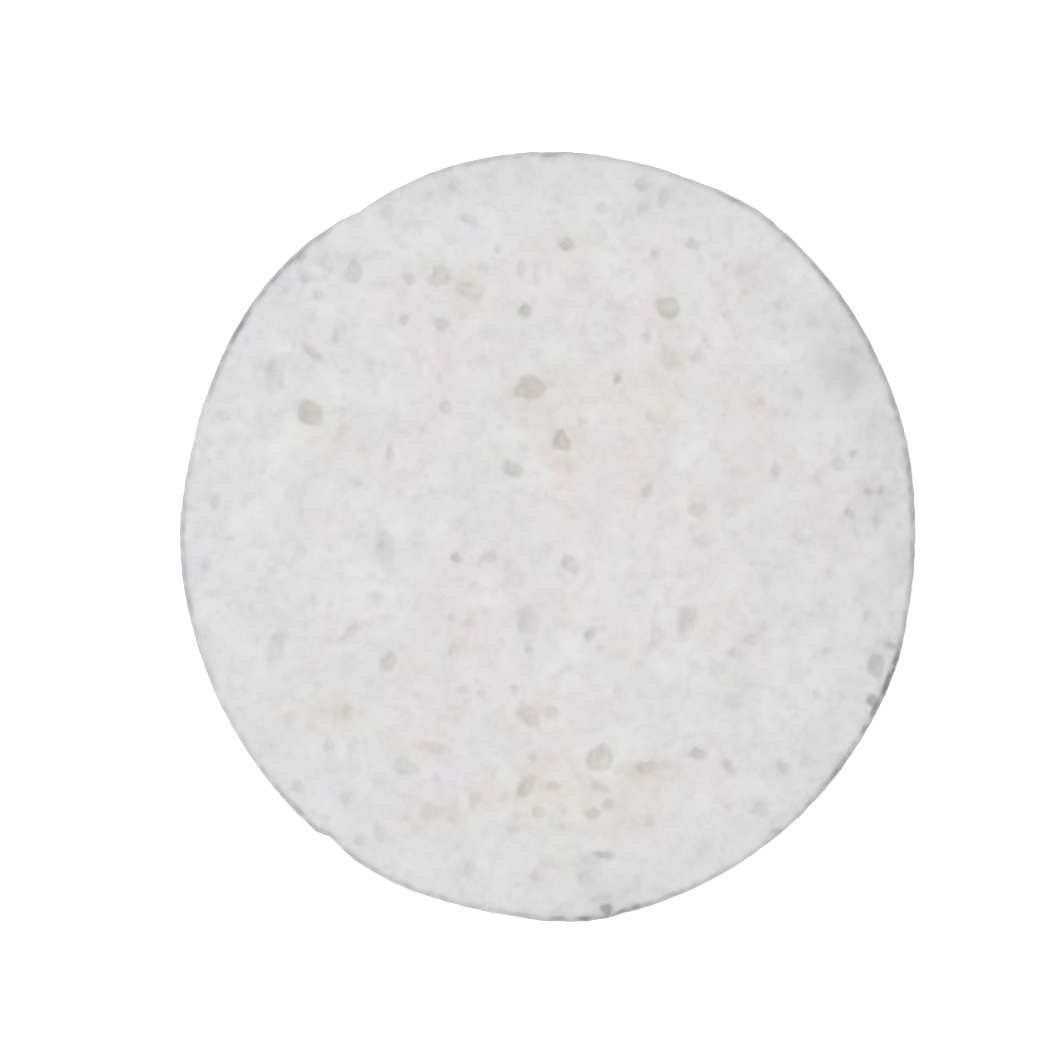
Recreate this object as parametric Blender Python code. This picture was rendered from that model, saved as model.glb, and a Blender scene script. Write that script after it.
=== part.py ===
"""A round cellulose face sponge, dry and pressed flat, lying on its underside.

It is one piece: a slightly oval disc cut from a pressed sheet, with its pores
left open as shallow bowls in both faces and as flat slits in the cut wall.
The origin is at the middle of the underside. +Z is up and +Y runs along the
longer way of the disc.
"""

import math
import random

import bmesh
import bpy
from mathutils import Matrix

MM = 0.001

# The disc
DISC_WIDTH = 74.4 * MM
DISC_LENGTH = 78.0 * MM
PRESSED_THICKNESS = 3.0 * MM
TOP_ROUNDING = 0.7 * MM
FOOT_ROUNDING = 0.4 * MM
ROUNDING_STEPS = 2
OUTLINE_STEP_DEG = 3

# Where the cut edge stands outside or inside a true oval: direction from the
# middle in degrees, counted from +X towards +Y, and the distance outwards.
EDGE_OFFSETS = (
    (0, 0.00 * MM),
    (20, 0.33 * MM),
    (45, 0.60 * MM),
    (57, 0.86 * MM),
    (63, 0.53 * MM),
    (69, 0.16 * MM),
    (80, 0.00 * MM),
    (105, -0.12 * MM),
    (114, -0.30 * MM),
    (120, -0.52 * MM),
    (123, -0.16 * MM),
    (131, 0.20 * MM),
    (138, 0.30 * MM),
    (147, 0.18 * MM),
    (156, -0.08 * MM),
    (167, -0.22 * MM),
    (180, 0.00 * MM),
    (204, -0.34 * MM),
    (218, -0.45 * MM),
    (232, -0.39 * MM),
    (234, -0.87 * MM),
    (239, -0.40 * MM),
    (246, -0.37 * MM),
    (256, -0.58 * MM),
    (264, -0.49 * MM),
    (270, -0.11 * MM),
    (276, 0.11 * MM),
    (288, -0.15 * MM),
    (301, -0.20 * MM),
    (318, -0.03 * MM),
    (341, 0.24 * MM),
    (349, -0.02 * MM),
)

# The pores of the upper face. Each row gives the place, as shares of the half
# width along X and of the half length along Y, then the pore's own length and
# width, the turn of its length from +X in degrees, and its depth. Pressing
# flattens every pore together with the disc, so the depth is a share of the
# pressed thickness.
FACE_PORES = (
    # Upper left quarter
    (-0.642, 0.320, 2.7 * MM, 2.5 * MM, 90, 0.50),
    (-0.525, 0.685, 2.2 * MM, 1.9 * MM, 90, 0.38),
    (-0.531, 0.722, 1.6 * MM, 1.4 * MM, 0, 0.30),
    (-0.292, 0.674, 2.5 * MM, 2.0 * MM, 0, 0.42),
    (-0.208, 0.638, 2.8 * MM, 2.0 * MM, -10, 0.32),
    (-0.047, 0.385, 3.0 * MM, 2.5 * MM, 0, 0.48),
    (-0.061, 0.586, 1.5 * MM, 1.2 * MM, -35, 0.50),
    (-0.634, 0.475, 2.4 * MM, 0.8 * MM, -40, 0.42),
    (-0.094, 0.175, 2.2 * MM, 1.4 * MM, -35, 0.48),
    (-0.064, 0.231, 1.2 * MM, 1.1 * MM, 0, 0.30),
    (-0.287, 0.551, 1.7 * MM, 1.5 * MM, 0, 0.34),
    (-0.387, 0.561, 1.3 * MM, 0.9 * MM, 90, 0.28),
    (-0.373, 0.669, 1.1 * MM, 1.0 * MM, 0, 0.28),
    (-0.656, 0.669, 1.3 * MM, 1.0 * MM, 0, 0.32),
    (-0.623, 0.626, 1.2 * MM, 1.1 * MM, 0, 0.28),
    (-0.213, 0.822, 1.7 * MM, 1.1 * MM, -15, 0.26),
    (-0.564, 0.529, 2.6 * MM, 1.4 * MM, 80, 0.24),
    (-0.737, 0.418, 4.2 * MM, 2.1 * MM, 85, 0.22),
    (-0.879, 0.312, 1.5 * MM, 1.4 * MM, 0, 0.22),
    (-0.178, 0.454, 2.4 * MM, 1.3 * MM, -10, 0.28),
    (-0.428, 0.214, 1.9 * MM, 0.8 * MM, 90, 0.28),
    (-0.515, 0.141, 1.4 * MM, 1.2 * MM, 0, 0.30),
    (-0.553, 0.278, 1.5 * MM, 1.1 * MM, 90, 0.24),
    # Upper right quarter
    (0.053, 0.757, 1.7 * MM, 1.3 * MM, 0, 0.44),
    (0.327, 0.594, 2.6 * MM, 2.4 * MM, -20, 0.48),
    (0.189, 0.410, 1.1 * MM, 0.8 * MM, 90, 0.46),
    (0.292, 0.729, 1.4 * MM, 1.1 * MM, 90, 0.36),
    (0.392, 0.757, 1.8 * MM, 0.9 * MM, 0, 0.34),
    (0.039, 0.247, 2.1 * MM, 1.8 * MM, -60, 0.50),
    (0.060, 0.180, 1.7 * MM, 1.2 * MM, 90, 0.34),
    (0.257, 0.912, 1.8 * MM, 1.3 * MM, 0, 0.34),
    (0.316, 0.881, 1.9 * MM, 1.2 * MM, 75, 0.30),
    (0.327, 0.457, 2.4 * MM, 1.5 * MM, 0, 0.28),
    (0.403, 0.467, 1.4 * MM, 1.1 * MM, 45, 0.34),
    (0.428, 0.511, 1.9 * MM, 0.9 * MM, -60, 0.30),
    (0.270, 0.514, 1.5 * MM, 1.0 * MM, 90, 0.28),
    (0.490, 0.571, 1.3 * MM, 1.2 * MM, 0, 0.28),
    (0.270, 0.118, 1.4 * MM, 1.2 * MM, 90, 0.36),
    (0.403, 0.069, 2.0 * MM, 1.3 * MM, 0, 0.32),
    (0.621, 0.172, 1.8 * MM, 0.9 * MM, 90, 0.30),
    (0.735, 0.154, 1.4 * MM, 1.0 * MM, 90, 0.32),
    (0.787, 0.190, 1.6 * MM, 1.2 * MM, 80, 0.30),
    (0.819, 0.061, 1.3 * MM, 1.2 * MM, -45, 0.44),
    (0.892, 0.041, 1.4 * MM, 0.9 * MM, 90, 0.34),
    (0.870, 0.115, 0.9 * MM, 0.9 * MM, 0, 0.40),
    (0.683, 0.369, 1.2 * MM, 1.0 * MM, 0, 0.26),
    # Lower left quarter
    (-0.439, -0.037, 4.0 * MM, 1.9 * MM, 88, 0.36),
    (-0.246, -0.055, 1.1 * MM, 1.0 * MM, 0, 0.44),
    (-0.159, -0.053, 1.5 * MM, 1.3 * MM, 0, 0.42),
    (-0.094, -0.094, 3.6 * MM, 1.6 * MM, 100, 0.24),
    (-0.053, -0.216, 3.1 * MM, 2.3 * MM, 85, 0.28),
    (-0.531, -0.244, 2.7 * MM, 1.0 * MM, 40, 0.34),
    (-0.433, -0.325, 2.0 * MM, 1.7 * MM, 90, 0.48),
    (-0.737, -0.286, 3.4 * MM, 1.6 * MM, 80, 0.24),
    (-0.254, -0.301, 2.1 * MM, 1.2 * MM, 95, 0.28),
    (-0.316, -0.545, 3.6 * MM, 1.2 * MM, -12, 0.42),
    (-0.387, -0.596, 2.5 * MM, 1.7 * MM, -20, 0.36),
    (-0.591, -0.539, 1.5 * MM, 1.3 * MM, 90, 0.34),
    (-0.539, -0.454, 1.5 * MM, 1.3 * MM, 90, 0.30),
    (-0.699, -0.469, 1.3 * MM, 1.2 * MM, 0, 0.26),
    (-0.200, -0.684, 1.6 * MM, 1.0 * MM, 70, 0.34),
    (-0.314, -0.713, 2.3 * MM, 2.0 * MM, 0, 0.26),
    (-0.547, -0.674, 1.4 * MM, 1.0 * MM, 20, 0.28),
    (-0.210, -0.860, 1.5 * MM, 1.0 * MM, 75, 0.26),
    (-0.034, -0.878, 1.1 * MM, 1.0 * MM, 0, 0.32),
    # Lower right quarter
    (0.064, -0.071, 2.4 * MM, 1.5 * MM, -45, 0.38),
    (0.115, -0.254, 1.4 * MM, 1.1 * MM, 45, 0.46),
    (0.379, -0.213, 3.0 * MM, 1.9 * MM, 80, 0.46),
    (0.422, -0.010, 1.6 * MM, 1.2 * MM, -20, 0.26),
    (-0.053, -0.461, 2.7 * MM, 1.9 * MM, -45, 0.48),
    (0.014, -0.457, 1.6 * MM, 1.3 * MM, -30, 0.34),
    (0.143, -0.573, 2.8 * MM, 2.6 * MM, 90, 0.48),
    (0.267, -0.597, 1.8 * MM, 1.5 * MM, 0, 0.44),
    (0.406, -0.563, 1.8 * MM, 1.1 * MM, -5, 0.46),
    (-0.058, -0.646, 2.4 * MM, 1.7 * MM, 40, 0.48),
    (0.018, -0.646, 1.2 * MM, 0.8 * MM, -5, 0.38),
    (0.143, -0.648, 1.9 * MM, 0.8 * MM, -28, 0.38),
    (0.121, -0.717, 1.7 * MM, 1.3 * MM, 0, 0.42),
    (0.163, -0.693, 1.3 * MM, 1.0 * MM, 10, 0.38),
    (0.152, -0.824, 2.4 * MM, 0.7 * MM, -10, 0.46),
    (0.020, -0.850, 2.4 * MM, 0.9 * MM, -18, 0.34),
    (0.506, -0.302, 1.4 * MM, 1.1 * MM, 0, 0.34),
    (0.504, -0.426, 2.0 * MM, 1.5 * MM, 0, 0.28),
    (0.493, -0.598, 1.9 * MM, 1.0 * MM, -55, 0.36),
    (0.640, -0.600, 1.9 * MM, 0.9 * MM, -60, 0.34),
    (0.577, -0.708, 1.9 * MM, 1.2 * MM, 0, 0.24),
    (0.550, -0.268, 1.4 * MM, 1.1 * MM, 0, 0.26),
    (0.868, -0.203, 1.0 * MM, 0.8 * MM, 0, 0.26),
    # Pores that the cut edge runs close to
    (0.893, -0.336, 2.4 * MM, 1.8 * MM, 75, 0.38),
    (0.881, -0.425, 1.3 * MM, 1.2 * MM, 0, 0.50),
    (0.159, -0.964, 1.3 * MM, 1.1 * MM, 0, 0.50),
    (0.620, -0.766, 1.0 * MM, 0.9 * MM, 0, 0.36),
    (-0.669, 0.728, 1.1 * MM, 0.9 * MM, 40, 0.40),
    (0.645, 0.771, 1.0 * MM, 0.9 * MM, 45, 0.36),
)

# The pores of the underside are scattered, clear of a plain patch that the
# disc rests and is measured on.
UNDERSIDE_PORE_COUNT = 36
UNDERSIDE_PORE_LENGTHS = (1.0 * MM, 2.8 * MM)
UNDERSIDE_PORE_DEPTHS = (0.18, 0.32)
UNDERSIDE_SPACING = 1.6 * MM
UNDERSIDE_REACH = 0.90
REST_PATCH_RADIUS = 5.0 * MM
NARROWEST_SHARE = 0.55
TRIES_FOR_EACH_PORE = 40

# Pores that the cut went through show in the wall as slits lying along it.
WALL_SLIT_COUNT = 28
WALL_SLIT_LENGTHS = (0.9 * MM, 2.4 * MM)
WALL_SLIT_HEIGHT = 0.55 * MM
WALL_SLIT_DEPTH = 0.7 * MM
WALL_SLIT_PLACES = (0.3, 0.7)

# A pore's bowl, from the bottom up: share of its half size across, and height
# against the face as a share of its depth. The last ring stands clear above.
BOWL_RINGS = ((0.50, -0.94), (0.86, -0.56), (1.02, 0.06), (1.08, 0.50))
BOWL_SIDES = 9
SMALL_BOWL_SIDES = 6
SMALL_BOWL_LENGTH = 1.4 * MM
BOWL_UNEVENNESS = 0.09

SEED = 11
SHARP_EDGE_DEG = 40

CELLULOSE_COLOUR = (0.73, 0.725, 0.70, 1.0)
CELLULOSE_ROUGHNESS = 0.92


def clear_scene():
    """Removes every object that the scene starts with."""
    for obj in list(bpy.data.objects):
        bpy.data.objects.remove(obj, do_unlink=True)


def edge_offset(degrees):
    """Distance of the cut edge outside the true oval in this direction."""
    rows = EDGE_OFFSETS + ((EDGE_OFFSETS[0][0] + 360, EDGE_OFFSETS[0][1]),)
    for (start, low), (end, high) in zip(rows, rows[1:]):
        if start <= degrees <= end:
            share = (degrees - start) / (end - start)
            eased = (1.0 - math.cos(math.pi * share)) / 2.0
            return low + (high - low) * eased
    return 0.0


def oval_radius(degrees):
    """Distance from the middle to the true oval in this direction."""
    angle = math.radians(degrees)
    across = math.cos(angle) / (DISC_WIDTH / 2)
    along = math.sin(angle) / (DISC_LENGTH / 2)
    return 1.0 / math.hypot(across, along)


def edge_radius(degrees):
    """Distance from the middle to the cut edge in this direction."""
    return oval_radius(degrees) + edge_offset(degrees % 360)


def outline_directions():
    """Directions of the outline's points: even steps, and each offset's own."""
    even = range(0, 360, OUTLINE_STEP_DEG)
    return sorted(set(even) | {degrees for degrees, _ in EDGE_OFFSETS})


def ring(degrees_list, inset, height):
    """Points of the outline, moved inwards by the inset, at one height."""
    points = []
    for degrees in degrees_list:
        angle = math.radians(degrees)
        radius = edge_radius(degrees) - inset
        points.append((radius * math.cos(angle), radius * math.sin(angle), height))
    return points


def wall_profile():
    """(inset, height) of each ring, from the underside up to the face."""
    rows = []
    for step in range(ROUNDING_STEPS + 1):
        turn = math.pi / 2 * step / ROUNDING_STEPS
        inset = FOOT_ROUNDING * (1.0 - math.sin(turn))
        height = FOOT_ROUNDING * (1.0 - math.cos(turn))
        rows.append((inset, height))
    for step in range(ROUNDING_STEPS + 1):
        turn = math.pi / 2 * step / ROUNDING_STEPS
        inset = TOP_ROUNDING * (1.0 - math.cos(turn))
        height = PRESSED_THICKNESS - TOP_ROUNDING * (1.0 - math.sin(turn))
        rows.append((inset, height))
    return rows


def mesh_object(name, form):
    """An object in the scene that holds this bmesh."""
    mesh = bpy.data.meshes.new(name)
    form.to_mesh(mesh)
    form.free()
    obj = bpy.data.objects.new(name, mesh)
    bpy.context.scene.collection.objects.link(obj)
    return obj


def add_closed_rings(form, rings):
    """Joins rings of points, bottom ring first, and closes both ends."""
    rows = [[form.verts.new(point) for point in points] for points in rings]
    for lower, upper in zip(rows, rows[1:]):
        for i in range(len(lower)):
            j = (i + 1) % len(lower)
            form.faces.new((lower[i], lower[j], upper[j], upper[i]))
    form.faces.new(tuple(reversed(rows[0])))
    form.faces.new(tuple(rows[-1]))


def make_disc():
    """The plain disc, with the middle of its outline over the origin."""
    form = bmesh.new()
    directions = outline_directions()
    add_closed_rings(form, [ring(directions, *row) for row in wall_profile()])
    xs = [vert.co.x for vert in form.verts]
    ys = [vert.co.y for vert in form.verts]
    shift = (-(min(xs) + max(xs)) / 2, -(min(ys) + max(ys)) / 2, 0.0)
    bmesh.ops.translate(form, vec=shift, verts=form.verts)
    return mesh_object("sponge", form)


def add_bowl(form, place, length, width, depth, draw):
    """Adds a closed bowl that opens along the local +Z of the place matrix."""
    sides = SMALL_BOWL_SIDES if length < SMALL_BOWL_LENGTH else BOWL_SIDES
    swell = [1.0 + draw.uniform(-BOWL_UNEVENNESS, BOWL_UNEVENNESS) for _ in range(sides)]
    start = draw.uniform(0.0, math.tau / sides)
    rings = []
    for share, height in BOWL_RINGS:
        points = []
        for i in range(sides):
            angle = start + math.tau * i / sides
            across = math.cos(angle) * share * swell[i] * length / 2
            along = math.sin(angle) * share * swell[i] * width / 2
            points.append(place @ Matrix.Translation((across, along, height * depth)).translation)
        rings.append(points)
    add_closed_rings(form, rings)


def face_place(x_share, y_share, turn_deg):
    """Place of a pore on the upper face."""
    spot = (x_share * DISC_WIDTH / 2, y_share * DISC_LENGTH / 2, PRESSED_THICKNESS)
    return Matrix.Translation(spot) @ Matrix.Rotation(math.radians(turn_deg), 4, "Z")


def add_face_pores(form, draw):
    for x_share, y_share, length, width, turn_deg, depth_share in FACE_PORES:
        place = face_place(x_share, y_share, turn_deg)
        add_bowl(form, place, length, width, depth_share * PRESSED_THICKNESS, draw)


def underside_spots(draw):
    """Scattered (x, y, length) on the underside, none touching another."""
    spots = []
    for _ in range(UNDERSIDE_PORE_COUNT * TRIES_FOR_EACH_PORE):
        if len(spots) == UNDERSIDE_PORE_COUNT:
            break
        degrees = draw.uniform(0.0, 360.0)
        radius = edge_radius(degrees) * UNDERSIDE_REACH * math.sqrt(draw.random())
        length = draw.uniform(*UNDERSIDE_PORE_LENGTHS)
        x = radius * math.cos(math.radians(degrees))
        y = radius * math.sin(math.radians(degrees))
        clear = radius > REST_PATCH_RADIUS + length / 2 and all(
            math.hypot(x - other_x, y - other_y) > (length + other) / 2 + UNDERSIDE_SPACING
            for other_x, other_y, other in spots
        )
        if clear:
            spots.append((x, y, length))
    return spots


def add_underside_pores(form, draw):
    face_down = Matrix.Rotation(math.pi, 4, "X")
    for x, y, length in underside_spots(draw):
        turn = Matrix.Rotation(draw.uniform(0.0, math.pi), 4, "Z")
        place = Matrix.Translation((x, y, 0.0)) @ turn @ face_down
        width = length * draw.uniform(NARROWEST_SHARE, 1.0)
        depth = draw.uniform(*UNDERSIDE_PORE_DEPTHS) * PRESSED_THICKNESS
        add_bowl(form, place, length, width, depth, draw)


def add_wall_slits(form, draw):
    """Slits round the cut wall, one in each of the even stretches of it."""
    lowest = FOOT_ROUNDING + WALL_SLIT_HEIGHT / 2
    highest = PRESSED_THICKNESS - TOP_ROUNDING - WALL_SLIT_HEIGHT / 2
    stretch = 360.0 / WALL_SLIT_COUNT
    for i in range(WALL_SLIT_COUNT):
        degrees = stretch * (i + draw.uniform(*WALL_SLIT_PLACES))
        height = draw.uniform(lowest, highest)
        length = draw.uniform(*WALL_SLIT_LENGTHS)
        turn = Matrix.Rotation(math.radians(degrees), 4, "Z")
        outwards = Matrix.Rotation(math.pi / 2, 4, "Y") @ Matrix.Rotation(math.pi / 2, 4, "Z")
        place = turn @ Matrix.Translation((edge_radius(degrees), 0.0, height)) @ outwards
        add_bowl(form, place, length, WALL_SLIT_HEIGHT, WALL_SLIT_DEPTH, draw)


def make_pore_cutter():
    """One guide object that holds every pore as a closed bowl."""
    draw = random.Random(SEED)
    form = bmesh.new()
    add_face_pores(form, draw)
    add_underside_pores(form, draw)
    add_wall_slits(form, draw)
    cutter = mesh_object("pores", form)
    cutter.hide_render = True
    cutter.display_type = "WIRE"
    return cutter


def cut_pores(disc, cutter):
    cut = disc.modifiers.new("pores", "BOOLEAN")
    cut.operation = "DIFFERENCE"
    cut.solver = "EXACT"
    cut.use_self = True
    cut.object = cutter


def cellulose_material():
    material = bpy.data.materials.new("cellulose")
    material.use_nodes = True
    shader = material.node_tree.nodes["Principled BSDF"]
    shader.inputs["Base Color"].default_value = CELLULOSE_COLOUR
    shader.inputs["Roughness"].default_value = CELLULOSE_ROUGHNESS
    shader.inputs["Metallic"].default_value = 0.0
    return material


def main():
    clear_scene()
    disc = make_disc()
    disc.data.materials.append(cellulose_material())
    disc.data.shade_smooth()
    disc.data.set_sharp_from_angle(angle=math.radians(SHARP_EDGE_DEG))
    cut_pores(disc, make_pore_cutter())


main()
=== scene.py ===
import math

import bpy
import numpy as np
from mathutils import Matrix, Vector, noise
from mathutils.bvhtree import BVHTree
from mathutils.geometry import delaunay_2d_cdt


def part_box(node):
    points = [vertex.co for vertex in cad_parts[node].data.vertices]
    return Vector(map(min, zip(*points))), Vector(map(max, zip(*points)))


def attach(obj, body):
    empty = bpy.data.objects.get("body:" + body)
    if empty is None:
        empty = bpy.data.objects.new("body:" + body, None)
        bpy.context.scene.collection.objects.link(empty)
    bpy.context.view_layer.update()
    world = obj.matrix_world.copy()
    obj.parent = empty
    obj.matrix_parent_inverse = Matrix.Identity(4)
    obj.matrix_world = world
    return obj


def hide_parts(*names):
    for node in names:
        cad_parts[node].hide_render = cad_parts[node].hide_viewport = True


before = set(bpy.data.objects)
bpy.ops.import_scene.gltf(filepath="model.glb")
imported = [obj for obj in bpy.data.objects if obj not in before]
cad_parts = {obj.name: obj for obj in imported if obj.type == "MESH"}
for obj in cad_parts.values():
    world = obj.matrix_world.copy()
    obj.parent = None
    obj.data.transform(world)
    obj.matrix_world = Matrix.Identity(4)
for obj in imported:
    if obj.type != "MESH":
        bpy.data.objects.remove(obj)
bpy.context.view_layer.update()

MM = 0.001

# Sizes read from the solid
LOW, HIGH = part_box("sponge")
HALF_WIDTH = (HIGH.x - LOW.x) / 2
HALF_LENGTH = (HIGH.y - LOW.y) / 2
THICKNESS = HIGH.z - LOW.z

# The cut edge. The outline follows the furthest that the solid reaches at any of the levels,
# which are shares of the thickness.
TOP_ROUNDING = 0.7 * MM
FOOT_ROUNDING = 0.4 * MM
REACH_LEVELS = (0.2, 0.35, 0.5, 0.65, 0.75)
OUTLINE_POINTS = 900
TOP_ARC_STEPS = 8
WALL_STEPS = 13
FOOT_ARC_STEPS = 4
EDGE_RAGGEDNESS = 0.05 * MM
EDGE_RAGGED_SIZE = 1.1 * MM
DEEPEST_SLIT = 1.2 * MM

# The faces. The steps are those of the coarse net, and of the fine one wherever a pore is.
FACE_STEPS = (0.44 * MM, 0.19 * MM)
UNDERSIDE_STEPS = (0.62 * MM, 0.22 * MM)
NET_UNEVENNESS = 0.28
NET_TOLERANCE = 1e-9
CROWN_DROP = 0.30 * MM
CROWN_REACH = 9.0 * MM
WAVE_HEIGHT = 0.16 * MM
WAVE_SIZE = 8.0 * MM
GRAIN_HEIGHT = 0.06 * MM
GRAIN_SIZE = 1.3 * MM
SEED = 23
UNWRAP_GAP = 0.5 * MM

# How far each use of the noise is shifted along X, in lumps, so that no two are alike
EDGE_SHIFT = 5.0
WAVE_SHIFT = 0.0
GRAIN_SHIFT = 40.0
PORE_SHIFTS = (60.0, 80.0)
PORE_TINT_SHIFT = 20.0
BOWL_SHIFTS = (100.0, 120.0)
CAST_SHIFTS = (30.0, 50.0)
# The next is the shift of the painted shade line along the cut edge
SHADE_LINE_SHIFT = 9.0

# A pore: how its mouth and floor run, as shares of its half size, how its tint ends, how its
# outline wanders, how uneven its tint is and how deep it goes
FLOOR_SHARE = -0.15
MOUTH_SHARE = 1.25
TINT_SOFTNESS = 0.28 * MM
FINE_NET_SHARE = 1.35
OUTLINE_WOBBLE = 0.16
OUTLINE_WAVES = 4
PORE_RAGGEDNESS = 0.20 * MM
PORE_RAGGED_SIZE = 0.8 * MM
PORE_UNEVENNESS = 0.3
PORE_STEEPNESS = 0.42
DEEPEST_PORE = 0.6 * MM

# Finishes, as reflectance or as what they leave of the reflectance under them
CELLULOSE = (0.645, 0.644, 0.644)
# Pore tints: partly each pore's own hue, partly painted shade in its hollow
OLIVE = (0.790, 0.788, 0.710)
MOSS = (0.785, 0.788, 0.755)
BEIGE = (0.802, 0.785, 0.745)
ROSE = (0.812, 0.778, 0.790)
GREY = (0.788, 0.785, 0.787)
SLATE = (0.780, 0.781, 0.805)
PALE_CAST = (1.030, 1.030, 1.030)
# Mostly painted shade near the cut edge, with darker tone further in
DIM_AND_SHADE_CAST = (0.935, 0.938, 0.938)
MAUVE_CAST = (1.028, 0.984, 1.000)
OCHRE_CAST = (0.993, 0.973, 0.948)
RUST_CAST = (1.010, 0.962, 0.950)
GREEN_CAST = (0.982, 0.998, 0.972)
BLUE_CAST = (0.985, 0.990, 1.040)
WARM_CASTS = (MAUVE_CAST, OCHRE_CAST, RUST_CAST)
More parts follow.
